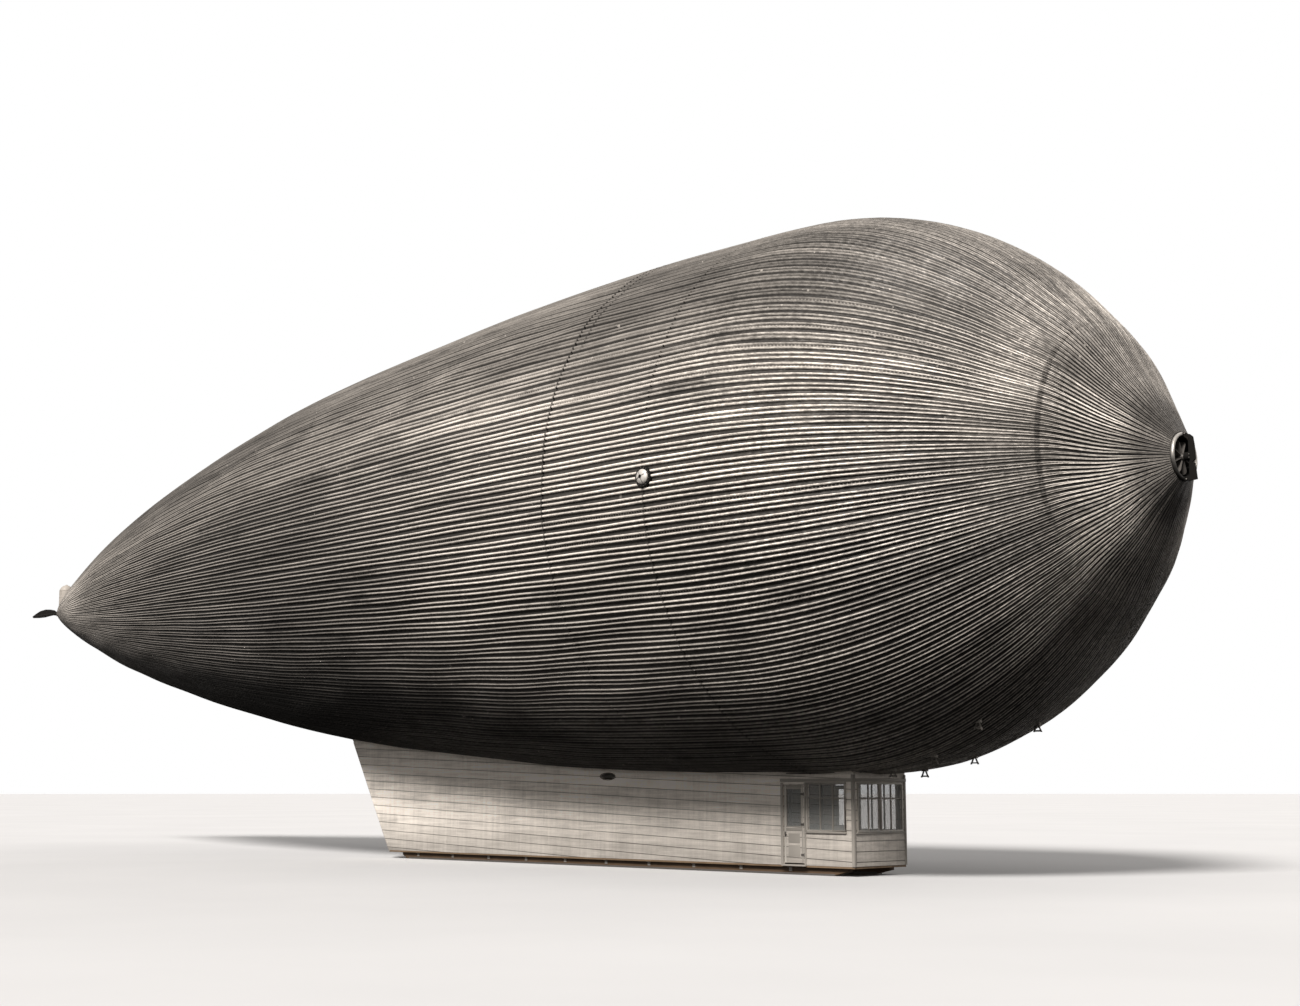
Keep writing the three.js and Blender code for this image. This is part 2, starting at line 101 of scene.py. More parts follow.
def sag(x):
    """How far the hull's centre line hangs under its axis near the ends, real metres."""
    return .12 * (1 - step(1, 26, x)) + .13 * step(62.6, 63.66, x)


NOSE = AXIS - .13 * S  # height of the axis at the nose ring and at the tail fork
TAIL = AXIS - .12 * S


def hull_low(x, y):
    """Real height of the hull's underside at station x, y off the centre plane."""
    return 11.913 - math.sqrt(float(hull_r(x)) ** 2 - y * y)


# ---------------------------------------------------------------- materials
class Look:
    """A Principled material with short names for building its nodes."""

    def __init__(self, name, color=(.5, .5, .5), metallic=0.0, roughness=.5, specular=.5):
        self.m = bpy.data.materials.new(name)
        self.m.use_nodes = True
        self.t = self.m.node_tree
        self.p = self.t.nodes["Principled BSDF"]
        self.p.inputs["Base Color"].default_value = (*color, 1)
        self.p.inputs["Metallic"].default_value = metallic
        self.p.inputs["Roughness"].default_value = roughness
        self.p.inputs["Specular IOR Level"].default_value = specular
        self._object = None

    def node(self, kind, **values):
        n = self.t.nodes.new("ShaderNode" + kind)
        for k, v in values.items():
            setattr(n, k, v)
        return n

    def put(self, socket, value):
        if isinstance(value, bpy.types.NodeSocket):
            self.t.links.new(value, socket)
        elif value is not None:
            socket.default_value = value

    def math(self, op, a, b=None, c=None, clamp=False):
        n = self.node("Math", operation=op, use_clamp=clamp)
        for s, v in zip(n.inputs, (a, b, c)):
            self.put(s, v)
        return n.outputs[0]

    def add(self, a, b):
        return self.math("ADD", a, b)

    def mul(self, a, b):
        return self.math("MULTIPLY", a, b)

    def vector(self, x=0.0, y=0.0, z=0.0):
        n = self.node("CombineXYZ")
        for s, v in zip(n.inputs, (x, y, z)):
            self.put(s, v)
        return n.outputs[0]

    def place(self):
        if self._object is None:
            self._object = self.node("TexCoord").outputs["Object"]
        return self._object

    def axes(self):
        n = self.node("SeparateXYZ")
        self.put(n.inputs[0], self.place())
        return n.outputs

    def scaled(self, sx, sy, sz, source=None):
        n = self.node("VectorMath", operation="MULTIPLY")
        self.put(n.inputs[0], source if source is not None else self.place())
        n.inputs[1].default_value = (sx, sy, sz)
        return n.outputs[0]

    def noise(self, vector=None, scale=1.0, detail=3.0, rough=.55, distortion=0.0):
        n = self.node("TexNoise")
        self.put(n.inputs["Vector"], vector if vector is not None else self.place())
        n.inputs["Scale"].default_value = scale
        n.inputs["Detail"].default_value = detail
        n.inputs["Roughness"].default_value = rough
        n.inputs["Distortion"].default_value = distortion
        return n.outputs["Fac"]

    def white(self, vector, dims="3D"):
        n = self.node("TexWhiteNoise", noise_dimensions=dims)
        self.put(n.inputs["Vector"] if dims != "1D" else n.inputs["W"], vector)
        return n.outputs["Value"]

    def span(self, value, a, b, c, d, smooth=True):
        """value from a..b to c..d, held at the ends."""
        n = self.node("MapRange", clamp=True)
        if smooth:
            n.interpolation_type = "SMOOTHSTEP"
        for s, v in zip(n.inputs, (value, a, b, c, d)):
            self.put(s, v)
        return n.outputs[0]

    def mix(self, fac, a, b, kind="MIX"):
        n = self.node("Mix", data_type="RGBA", blend_type=kind)
        self.put(n.inputs[0], fac)
        for s, v in ((n.inputs[6], a), (n.inputs[7], b)):
            self.put(s, (*v, 1) if isinstance(v, tuple) and len(v) == 3 else v)
        return n.outputs[2]

    def ramp(self, fac, stops):
        n = self.node("ValToRGB")
        self.put(n.inputs[0], fac)
        e = n.color_ramp.elements
        while len(e) < len(stops):
            e.new(.5)
        for el, (p, c) in zip(e, stops):
            el.position = p
            el.color = (*c, 1)
        return n.outputs[0]

    def bump(self, height, distance=.002, strength=1.0, after=None):
        n = self.node("Bump")
        n.inputs["Strength"].default_value = strength
        n.inputs["Distance"].default_value = distance
        self.put(n.inputs["Height"], height)
        if after is not None:
            self.put(n.inputs["Normal"], after)
        return n.outputs[0]

    def attribute(self, name):
        return self.node("Attribute", attribute_name=name).outputs["Fac"]

    def set(self, **sockets):
        for k, v in sockets.items():
            self.put(self.p.inputs[k.replace("_", " ")], v)
        return self.m


def hull_look(name):
    """Weathered corrugated sheet. The UV map "Lanes" holds the lane number round the hull and the metres along it."""
    k = Look(name, metallic=.15, roughness=.5, specular=.4)
    uv = k.node("SeparateXYZ")
    k.put(uv.inputs[0], k.node("UVMap", uv_map="Lanes").outputs[0])
    lane, run = uv.outputs[0], uv.outputs[1]
    crest = k.attribute("crest")
    at = k.axes()
    high = k.add(at[2], -AXIS)
    up = k.math("DIVIDE", high, k.math("SQRT", k.add(k.add(k.mul(at[1], at[1]), k.mul(high, high)), .001)))
    pair = k.math("FLOOR", lane)
    half = k.math("FLOOR", k.mul(lane, 2.0))
    jig = k.white(k.vector(pair, 3.0, 0))
    sheet = k.math("FLOOR", k.add(k.mul(run, .62), jig))
    by_sheet = k.white(k.vector(pair, sheet, 1.0))
    by_ridge = k.white(k.vector(half, 7.0, 2.0))
    patches = k.noise(scale=.55, detail=5, rough=.6)
    clouds = k.noise(k.scaled(.35, 1, 1), scale=1.6, detail=4, rough=.6, distortion=.3)
    streaks = k.noise(k.vector(k.mul(lane, 1.7), k.mul(run, .55), 0), scale=1.0, detail=4, rough=.65)
    fine = k.noise(k.vector(k.mul(lane, 9.0), k.mul(run, 7.0), 0), scale=1.0, detail=3, rough=.6)
    grain = k.noise(scale=42, detail=3, rough=.7)
    top = k.span(k.add(up, k.mul(k.add(patches, -.5), .5)), .12, .66, 0, 1)  # 1 on the back of the hull, 0 on the flanks
    # brightness factor of the sheet
    wide = k.noise(k.vector(k.mul(lane, .22), k.mul(run, .16), 2.0), scale=1.0, detail=5, rough=.6)
    v = k.add(k.mul(k.add(by_sheet, -.5), .24), k.mul(k.add(by_ridge, -.5), .20))
    v = k.add(v, k.mul(k.add(patches, -.5), .3))
    v = k.add(v, k.mul(k.add(clouds, -.5), .25))
    v = k.add(v, k.mul(k.add(wide, -.5), .7))
    v = k.add(v, k.mul(k.add(streaks, -.5), .9))
    v = k.add(v, k.mul(k.add(fine, -.5), .7))
    v = k.add(v, k.mul(k.add(grain, -.5), .3))
    v = k.math("MAXIMUM", k.add(v, 1.0), .3)
    # soot smudges that lie along the lanes
    smudge = k.noise(k.vector(k.mul(half, .17), k.mul(run, .30), 9.0), scale=1.0, detail=6, rough=.72)
    smudge = k.add(smudge, k.mul(k.add(k.add(streaks, fine), -1.0), .16))
    v = k.mul(v, k.span(smudge, .555, .66, 1.0, .5))
    bands = k.noise(k.vector(k.mul(pair, .55), k.mul(run, .2), 4.0), scale=1.0, detail=3, rough=.6)
    v = k.mul(v, k.span(bands, .3, .7, .68, 1.32, smooth=False))
    # dirt and painted shade in the valleys, weaker on the back, where the valleys face the sky
    bow = k.span(at[0], X(54), X(61.5), 0, 1)
    dirt_and_shade = k.span(k.add(crest, k.mul(k.add(streaks, -.5), .3)), k.add(k.mul(bow, .12), .38), k.add(k.mul(bow, .05), .88), 0, 1)
    low = k.mul(k.span(top, 0, 1, .06, .15, smooth=False), k.span(bow, 0, 1, 1.0, .45))
    worn = k.mul(k.span(at[0], X(60.6), X(61.8), 0, 1), k.span(at[0], X(62.5), X(62.9), 1, 0))  # rubbed pale each side of the nose seam
    low = k.add(low, k.mul(worn, .07))
    cap = k.span(at[0], X(62.3), X(63.2), 0, 1)
    rub = k.noise(k.vector(k.mul(lane, .35), k.mul(run, 1.1), 12.0), scale=1.0, detail=5, rough=.7)
    rub = k.mul(k.span(rub, .47, .60, 0, 1), k.span(at[0], X(54), X(60), 0, 1))  # valleys rubbed pale in blotches over the bow
    low = k.add(low, k.mul(k.mul(rub, k.span(up, -.3, .3, .3, 1.0)), k.span(at[0], X(62.6), X(63.2), .12, .04)))
    low = k.mul(low, k.span(cap, 0, 1, 1.0, .45))
    belly_shade = k.mul(k.span(k.add(up, k.mul(k.add(patches, -.5), .2)), -.62, -.42, 1.0, 0), k.span(at[0], X(56), X(61), 1.0, .3))
    low = k.add(low, k.mul(belly_shade, .10))  # low on the flanks the painted shade evens crests and valleys out
    dirt_and_shade = k.mul(dirt_and_shade, k.span(k.mul(cap, k.span(crest, .1, .6, 1, 0)), 0, 1, 1.0, .7))
    middle = k.span(k.math("ABSOLUTE", k.add(k.math("FRACT", lane), -.5)), .06, .14, 1, 0)
    middle = k.mul(k.mul(k.mul(middle, top), .65), k.math("SUBTRACT", 1.0, bow))  # on the back a pair reads as one ridge
    dirt_and_shade = k.add(dirt_and_shade, k.mul(middle, k.math("SUBTRACT", 1.0, dirt_and_shade)))
    dirt_and_shade = k.add(k.mul(dirt_and_shade, k.math("SUBTRACT", 1.0, low)), low)
    v = k.mul(v, dirt_and_shade)
    # painted highlight: the flanks far lighter than the back, standing in for the sun's gleam along the flank ridges; a
    # third darker over the bow
    tone = k.mul(k.span(top, 0, 1, 1.0, .195, smooth=False), k.span(bow, 0, 1, 1.0, .68))
    v = k.mul(v, tone)
    # painted shade: the flanks darker aft of midships, darkest between stations 24 and 30, lighter again towards the
    # tail, less so on the back
    aft = k.mul(k.span(at[0], X(30), X(52), .36, 1.06), k.span(at[0], X(3), X(24), 2.05, 1.0))
    v = k.mul(v, k.add(aft, k.mul(k.mul(top, .74), k.math("SUBTRACT", 1.0, aft))))
    v = k.mul(v, k.add(k.mul(k.mul(top, .48), k.mul(k.span(at[0], X(24), X(35), 0, 1), k.span(at[0], X(43), X(50), 1, 0))), 1.0))
    under = k.add(up, k.mul(k.add(patches, -.5), .2))  # painted shade under the belly
    v = k.mul(v, k.span(under, -.55, -.1, .60, 1.0))
    # painted shade low on the flanks
    v = k.mul(v, k.span(belly_shade, 0, 1, 1.0, .80))
    shade_reach = k.add(under, k.span(at[0], X(36), X(47), -.17, 0))  # the painted shade under the belly reaches higher on the after half
    v = k.mul(v, k.math("MAXIMUM", k.span(shade_reach, -.93, -.7, .24, 1.0), k.span(at[0], X(50), X(56), 0, .9)))
    v = k.mul(v, k.add(k.mul(k.mul(top, k.span(at[0], X(56), X(60.5), 0, 1)), 1.3), 1.0))  # the back of the bow is paler
    v = k.mul(v, k.span(k.add(up, k.mul(k.add(clouds, -.5), .3)), .72, 1.0, 1.0, 1.10))
    rubbed = k.noise(k.vector(k.mul(lane, 1.3), k.mul(run, 1.2), 14.0), scale=1.0, detail=5, rough=.7)
    v = k.mul(v, k.add(k.mul(k.mul(worn, top), k.span(rubbed, .42, .60, .1, 1.6)), 1.0))
    v = k.mul(v, k.add(k.mul(k.mul(cap, top), .22), 1.0))
    v = k.mul(v, k.add(k.mul(cap, k.span(k.math("ABSOLUTE", k.add(up, .15)), .1, .5, -.16, .02)), 1.0))
    v = k.mul(v, k.span(at[0], X(.3), X(5.5), .58, 1.0))
    near = k.span(at[0], X(63.3), X(64.0), 0, 1)  # by the ring, painted highlight on the crests and painted shade in the valleys
    v = k.mul(v, k.add(k.mul(near, k.span(crest, .35, .95, -.62, .22)), 1.0))
    speck = k.noise(k.vector(k.mul(lane, 5.0), k.mul(run, 9.0), 3.0), scale=1.0, detail=4, rough=.75)
    v = k.mul(v, k.add(k.mul(k.span(speck, .34, .66, -.42, .42), k.span(at[0], X(50), X(57), .25, 1.0)), 1.0))
    v = k.mul(v, k.span(at[0], X(63.5), X(64.15), 1.0, .30))
    v = k.mul(v, k.add(k.span(at[0], X(61.0), X(62.4), 1.0, .80), k.mul(cap, k.mul(k.span(up, -1.0, -.70, 0, 1.25), k.span(up, -.42, 0, 1.0, .18)))))
    # the seams between the sheets' hoops, worn away here and there
    broken = k.noise(k.vector(k.mul(lane, .5), 3.0, 6.0), scale=1.0, detail=3, rough=.6)
    # station, half width, depth, where it shows (up from, to, strength below, above)
    for x0, half, deep, shows in ((47.7, .05, .78, (-.45, -.05, .22, 1.0)), (48.12, .045, .70, (.42, .62, 0, 1.0)),
                                  (52.1, .045, .5, (-.04, .05, 1.0, .04)), (62.5, .065, .58, (0, .01, 1.0, 1.0))):
        d = k.math("ABSOLUTE", k.add(at[0], -X(x0)))
        line = k.mul(k.span(d, half * S * .6, half * S, deep, 0), k.span(broken, .3, .55, .25, 1.0))
        line = k.mul(line, k.span(up, *shows))
        if x0 > 60:
            line = k.mul(line, k.span(k.math("ABSOLUTE", k.add(up, -.1)), .35, .75, 1.0, .15))
        v = k.mul(v, k.math("SUBTRACT", 1.0, line))
    # rivet lines of the lap joints, one lane in five
    lap = k.span(k.white(k.vector(pair, 11.0, 4.0)), .78, .80, 0, 1)
    across = k.math("ABSOLUTE", k.add(k.math("FRACT", lane), -.5))
    dot = k.mul(k.span(across, .03, .10, 1, 0), k.span(k.math("SINE", k.mul(run, 2 * math.pi / .055)), .1, .8, 0, 1))
    dot = k.mul(dot, k.mul(lap, k.span(at[0], X(10), X(20), 0, 1)))
    v = k.add(v, k.mul(dot, .22))
    # bright spots, more on the back: painted glints
    glints = k.noise(scale=9.0, detail=2, rough=.5)
    v = k.add(v, k.mul(k.span(glints, .71, .77, 0, .35), k.span(top, 0, 1, .5, 1.0)))
    color = k.mix(1.0, (1.0, .945, .87), v, "MULTIPLY")
    rough = k.span(k.noise(scale=3.0, detail=4), .3, .7, .42, .62)
    # cross ripples that run over the crests, and fine dents
    phase = k.mul(k.white(k.vector(half, 5.0, 0)), 6.283)
    wave = k.math("SINE", k.add(k.mul(k.add(run, k.mul(fine, .05)), 44.0), phase))
    ripple = k.mul(wave, k.span(k.noise(k.vector(k.mul(lane, .4), k.mul(run, .9), 5.0), scale=1.0, detail=2), .42, .62, .15, 1.0))
    b1 = k.bump(ripple, distance=.0022)
    b2 = k.bump(k.noise(k.vector(k.mul(lane, 2.0), k.mul(run, 6.0), 0), scale=1.0, detail=5, rough=.65), distance=.014, after=b1)
    return k.set(Base_Color=color, Roughness=rough, Normal=b2)


def metal_look(name, color, roughness=.45, metallic=.8, scale=30.0, variation=.35, wear=None, bump=.0006, specular=.5, shade_below=None):
    k = Look(name, color, metallic, roughness, specular)
    patches = k.noise(scale=scale * .12, detail=4)
    fine = k.noise(scale=scale, detail=5, rough=.65)
    v = k.add(k.add(k.mul(k.add(patches, -.5), variation * 1.6), k.mul(k.add(fine, -.5), variation)), 1.0)
    if shade_below is not None:  # painted shade: darker below this height
        v = k.mul(v, k.span(k.add(k.axes()[2], k.mul(k.add(patches, -.5), .2)), shade_below - .1, shade_below + .1, .14, 1.0))
    base = k.mix(1.0, tuple(color), v, "MULTIPLY")
    if wear is not None:
        edge = k.node("NewGeometry").outputs["Pointiness"]
        worn = k.span(k.add(edge, k.mul(k.add(fine, -.5), .05)), .52, .56, 0, .8)
        base = k.mix(worn, base, tuple(wear))
    rough = k.span(fine, .25, .75, roughness - .1, roughness + .14)
    n = k.bump(fine, distance=bump)
    return k.set(Base_Color=base, Roughness=rough, Normal=n)


def sheet_look(name, color):
    """Painted car sheets: every lapped strake a little different, rain streaks, dirt and painted shade under each lap,
    painted light lighter towards the top and darker towards the ground.
    """
    k = Look(name, color, .15, .5, .4)
    at = k.axes()
    row = k.mul(k.add(k.add(at[2], k.mul(at[0], .04)), -2.2538), 1 / (.315 * S))
    strake = k.math("FLOOR", row)
    board = k.math("FLOOR", k.add(k.mul(at[0], 1 / (3.8 * S)), k.mul(k.math("MODULO", strake, 2.0), .5)))
    each = k.white(k.vector(strake, board, 2.0))
    along = k.noise(k.scaled(.9, 3, 14), scale=1.0, detail=5, rough=.65)
    rain = k.noise(k.scaled(16, 16, .9), scale=1.0, detail=4, rough=.6)
    patches = k.noise(scale=1.6, detail=4, rough=.6)
    fine = k.noise(scale=40, detail=4, rough=.65)
    row_tone = k.white(k.vector(strake, 5.0, 2.0))
    v = k.add(k.add(k.mul(k.add(each, -.5), .10), k.mul(k.add(row_tone, -.5), .22)), 1.0)
    v = k.add(v, k.mul(k.add(along, -.5), 1.1))
    v = k.add(v, k.mul(k.add(rain, -.5), .40))
    v = k.add(v, k.mul(k.add(patches, -.5), .5))
    v = k.add(v, k.mul(k.add(fine, -.5), .22))
    v = k.math("MAXIMUM", v, .3)
    edge = k.math("FRACT", row)
    v = k.mul(v, k.mul(k.span(edge, .90, .985, 1.0, .30), k.span(edge, .0, .03, .5, 1.0)))  # dirt and painted shade under each lap
    # painted light: lighter towards the top, where the hull shades the wall, darker towards the ground
    v = k.mul(v, k.span(at[2], .12, 1.1, .55, 1.1))
    base = k.mix(1.0, tuple(color), v, "MULTIPLY")
    rough = k.span(fine, .25, .75, .42, .66)
    return k.set(Base_Color=base, Roughness=rough, Normal=k.bump(k.add(fine, k.mul(patches, 3.0)), distance=.001))


def wood_look(name, light, dark, along="x", plank=.0, roughness=.6):
    k = Look(name, light, 0.0, roughness, .35)
    sx, sy, sz = {"x": (1.2, 26, 26), "y": (26, 1.2, 26), "z": (26, 26, 1.2)}[along]
    grain = k.noise(k.scaled(sx, sy, sz), scale=1.0, detail=6, rough=.65, distortion=1.2)
    fibre = k.noise(k.scaled(sx * 2.5, sy * 6, sz * 6), scale=1.0, detail=3)
    tone = k.noise(scale=2.2, detail=3)
    f = k.math("ADD", k.mul(grain, .6), k.mul(fibre, .25), clamp=True)
    f = k.math("ADD", f, k.mul(k.add(tone, -.5), .5), clamp=True)
    color = k.ramp(f, [(.25, dark), (.5, tuple((a + b) / 2 for a, b in zip(light, dark))), (.75, light)])
    if plank:
        a = k.axes()
        row = k.mul(a[1], 1 / plank)
        gap = k.math("ABSOLUTE", k.add(k.math("FRACT", row), -.5))
        line = k.span(gap, .465, .492, 0, 1)
        by = k.white(k.vector(k.math("FLOOR", row), 0, 0))
        color = k.mix(1.0, color, k.add(k.mul(by, .35), .8), "MULTIPLY")
        color = k.mix(k.mul(line, .85), color, tuple(c * .15 for c in dark))
    n = k.bump(grain, distance=.0015)
    rough = k.span(fibre, .3, .7, roughness - .1, roughness + .15)
    return k.set(Base_Color=color, Roughness=rough, Normal=n)


LOOK_HULL = hull_look("hull_plating")
LOOK_BAND = metal_look("seam_strip", (.10, .094, .086), .6, .4, 12, .9)
LOOK_BRIGHT = metal_look("bright_metal", (.80, .785, .75), .38, .35, 34, .3)
LOOK_DARK = metal_look("dark_paint", (.03, .0285, .026), .5, .25, 30, .6, wear=(.16, .15, .14))
LOOK_RING = metal_look("ring_metal", (.62, .605, .575), .36, .6, 34, .3, shade_below=NOSE - .08)
LOOK_DARKEST = metal_look("shadow_paint", (.012, .0115, .0108), .8, 0, 30, .5, specular=.12)
LOOK_VANE = metal_look("vane_frame_paint", (.022, .021, .0195), .7, 0, 30, .5, specular=.2)
LOOK_CAR = sheet_look("car_sheet", (.92, .875, .805))
LOOK_PALE = metal_look("pale_paint", (.66, .64, .59), .5, .1, 20, .3, wear=(.35, .33, .3))
LOOK_HOOD = metal_look("hood_paint", (.47, .44, .40), .6, .1, 14, .3)
LOOK_CAP = metal_look("tail_cap_sheet", (.075, .07, .064), .55, .3, 16, .6)
LOOK_TRIM = metal_look("car_trim", (.20, .19, .172), .5, .3, 30, .4, wear=(.42, .40, .37))
LOOK_IRON = metal_look("engine_iron", (.06, .06, .058), .6, .6, 40, .5, wear=(.2, .19, .18))
LOOK_SKID = wood_look("skid_wood", (.20, .135, .085), (.08, .05, .03), "x")
LOOK_FLOOR = wood_look("floor_boards", (.36, .26, .17), (.17, .115, .07), "x", plank=.075)
LOOK_BENCH = wood_look("bench_wood", (.27, .165, .09), (.12, .065, .032), "x")


def glass_look():
    k = Look("window_glass", (.55, .58, .58), 0.0, .06, .5)
    k.p.inputs["Alpha"].default_value = .28
    k.p.inputs["IOR"].default_value = 1.5
    streak = k.noise(k.scaled(2, 2, 9), scale=2.0, detail=3)
    rough = k.span(streak, .4, .8, .03, .16)
    dust = k.mix(k.span(streak, .45, .8, 0, .6), (.5, .53, .53), (.68, .66, .62))
    return k.set(Roughness=rough, Base_Color=dust)


LOOK_GLASS = glass_look()


# ---------------------------------------------------------------- mesh helpers
def piece(name, verts, faces, look, body="airframe", smooth=True, replaces=(), slot=None, sharp_angle=None):
    me = bpy.data.meshes.new(name)
    me.from_pydata(np.asarray(verts, float).reshape(-1, 3).tolist(), [], [list(map(int, f)) for f in faces])
    me.validate()
    me.update()
    ob = bpy.data.objects.new(name, me)
    bpy.context.scene.collection.objects.link(ob)
    return dress(ob, look, body, smooth, replaces, slot, sharp_angle)


def dress(ob, look, body="airframe", smooth=True, replaces=(), slot=None, sharp_angle=None):
    me = ob.data
    me.materials.clear()
    me.materials.append(look)
    me.polygons.foreach_set("use_smooth", [smooth] * len(me.polygons))
    if smooth and sharp_angle is not None:
        me.set_sharp_from_angle(angle=math.radians(sharp_angle))
    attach(ob, body)
    if replaces:
        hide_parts(*replaces)
    return ob


def from_bmesh(name, bm, look, bevel=0.0, segments=2, sharp=30, **rest):
    """A piece from a bmesh: doubles merged, flat faces joined, edges over `sharp` degrees rounded."""
    bmesh.ops.remove_doubles(bm, verts=bm.verts, dist=1e-5)
    if bevel:
        bmesh.ops.dissolve_limit(bm, angle_limit=math.radians(1.0), verts=bm.verts, edges=bm.edges)
        edges = [e for e in bm.edges if len(e.link_faces) == 2 and e.calc_face_angle(0) > math.radians(sharp)]
        bmesh.ops.bevel(bm, geom=edges, offset=bevel, segments=segments, profile=.6, affect="EDGES", clamp_overlap=True)
        bmesh.ops.remove_doubles(bm, verts=bm.verts, dist=1e-6)
    bmesh.ops.recalc_face_normals(bm, faces=bm.faces)
    me = bpy.data.meshes.new(name)
    bm.to_mesh(me)
    bm.free()
    ob = bpy.data.objects.new(name, me)
    bpy.context.scene.collection.objects.link(ob)
    return dress(ob, look, sharp_angle=38, **rest)


def refine(node, look, bevel=.003, name=None, segments=2, sharp=30, **rest):
    """The CAD node's shape with rounded edges and a finish, in place of the node."""
    bm = bmesh.new()
    bm.from_mesh(NODES[node].data)
    return from_bmesh(name or node + "_look", bm, look, bevel, segments, sharp, replaces=[node], **rest)


def add_box(bm, x0, x1, y0, y1, z0, z1, turn=None, about=None):
    made = bmesh.ops.create_cube(bm, size=1.0)["verts"]
    c = Vector(((x0 + x1) / 2, (y0 + y1) / 2, (z0 + z1) / 2))
    for v in made:
        v.co = Vector((v.co.x * (x1 - x0), v.co.y * (y1 - y0), v.co.z * (z1 - z0))) + c
    if turn is not None:
        bmesh.ops.rotate(bm, verts=made, cent=about or c, matrix=turn)
    return made


def add_tube(bm, a, b, r, sides=12, r2=None):
    """Solid round bar from a to b."""
    a, b = Vector(a), Vector(b)
    d = b - a
    made = bmesh.ops.create_cone(bm, cap_ends=True, segments=sides, radius1=r, radius2=r if r2 is None else r2, depth=d.length)["verts"]
    m = Matrix.Translation((a + b) / 2) @ d.to_track_quat("Z", "Y").to_matrix().to_4x4()
    bmesh.ops.transform(bm, matrix=m, verts=made)
    return made


def add_dome(bm, at, normal, r, rise, sides=8):
    """Low round head, such as a rivet or bolt head, standing on a surface."""
    n = Vector(normal).normalized()
    q = n.to_track_quat("Z", "Y").to_matrix()
    rings = [(1.0, -.35), (1.0, .25), (.72, .8)]
    loops = []
    for f, h in rings:
        loops.append([bm.verts.new(Vector(at) + q @ Vector((math.cos(t) * r * f, math.sin(t) * r * f, h * rise)))
                      for t in (2 * math.pi * i / sides for i in range(sides))])
    top = bm.verts.new(Vector(at) + n * rise)
    for a, b in zip(loops, loops[1:]):
        for i in range(sides):
            bm.faces.new((a[i], a[(i + 1) % sides], b[(i + 1) % sides], b[i]))
    for i in range(sides):
        bm.faces.new((loops[-1][i], loops[-1][(i + 1) % sides], top))
    bm.faces.new(list(reversed(loops[0])))


def lathe(name, profile, look, sides=96, centre=(0, 0, NOSE), along=(1, 0, 0), closed=None, wobble=0.0, sharp_angle=38, **rest):
    """Turned piece about `along` through centre. profile is (distance along, radius) in model metres; it is a
    closed loop, or runs from the axis to the axis."""
    along = Vector(along).normalized()
    q = along.to_track_quat("Z", "Y").to_matrix()
    c = Vector(centre)
    pts = list(profile)
    if closed is None:
        closed = not (pts[0][1] < 1e-9 and pts[-1][1] < 1e-9)
    verts, faces, rows = [], [], []
    for h, r in pts:
        if r < 1e-9:
            rows.append([len(verts)])
            verts.append(c + q @ Vector((0, 0, h)))
        else:
            rows.append(list(range(len(verts), len(verts) + sides)))
            for i in range(sides):
                t = 2 * math.pi * i / sides
                verts.append(c + q @ Vector((math.cos(t) * r, math.sin(t) * r, h)))
    pairs = list(zip(rows, rows[1:])) + ([(rows[-1], rows[0])] if closed else [])
    for a, b in pairs:
        for i in range(sides):
            j = (i + 1) % sides
            if len(a) == 1 and len(b) == 1:
                continue
            if len(a) == 1:
                faces.append((a[0], b[j], b[i]))
            elif len(b) == 1:
                faces.append((a[i], a[j], b[0]))
            else:
                faces.append((a[i], a[j], b[j], b[i]))
    bm = bmesh.new()
    vs = [bm.verts.new(v) for v in verts]
    for f in faces:
        bm.faces.new([vs[i] for i in f])
    bmesh.ops.recalc_face_normals(bm, faces=bm.faces)
    me = bpy.data.meshes.new(name)
    bm.to_mesh(me)
    bm.free()
    ob = bpy.data.objects.new(name, me)
    bpy.context.scene.collection.objects.link(ob)
    return dress(ob, look, sharp_angle=sharp_angle, **rest)


# ---------------------------------------------------------------- corrugated hull
PAIRS = 156  # pairs of ridges round the hull
T8 = np.array([.15, .225, .35, .42, .58, .65, .775, .85])
CAP_ONE = np.array([.23, .31, .40, .46, .54, .60, .69, .77])  # on the nose the two ridges of a pair run into one
CAP_EVEN = np.array([.34, .44, .55, .61, .71, .77, .88, .95])  # and by the ring two lanes run together
CAP_ODD = 1 - CAP_EVEN[::-1]
DEPTH = .2  # ridge height as a share of a pair's width
FLOOR_IN = .010  # plating thickness

lane_seed = RNG.uniform(0, 2 * math.pi, (4, PAIRS))
lane_high = RNG.normal(0, 1, PAIRS)
lane_mid = RNG.normal(0, 1, PAIRS)
dent_k = [(RNG.uniform(.25, 1.3), int(RNG.integers(3, 26)), RNG.uniform(0, 6.28), RNG.uniform(.4, 1)) for _ in range(26)]


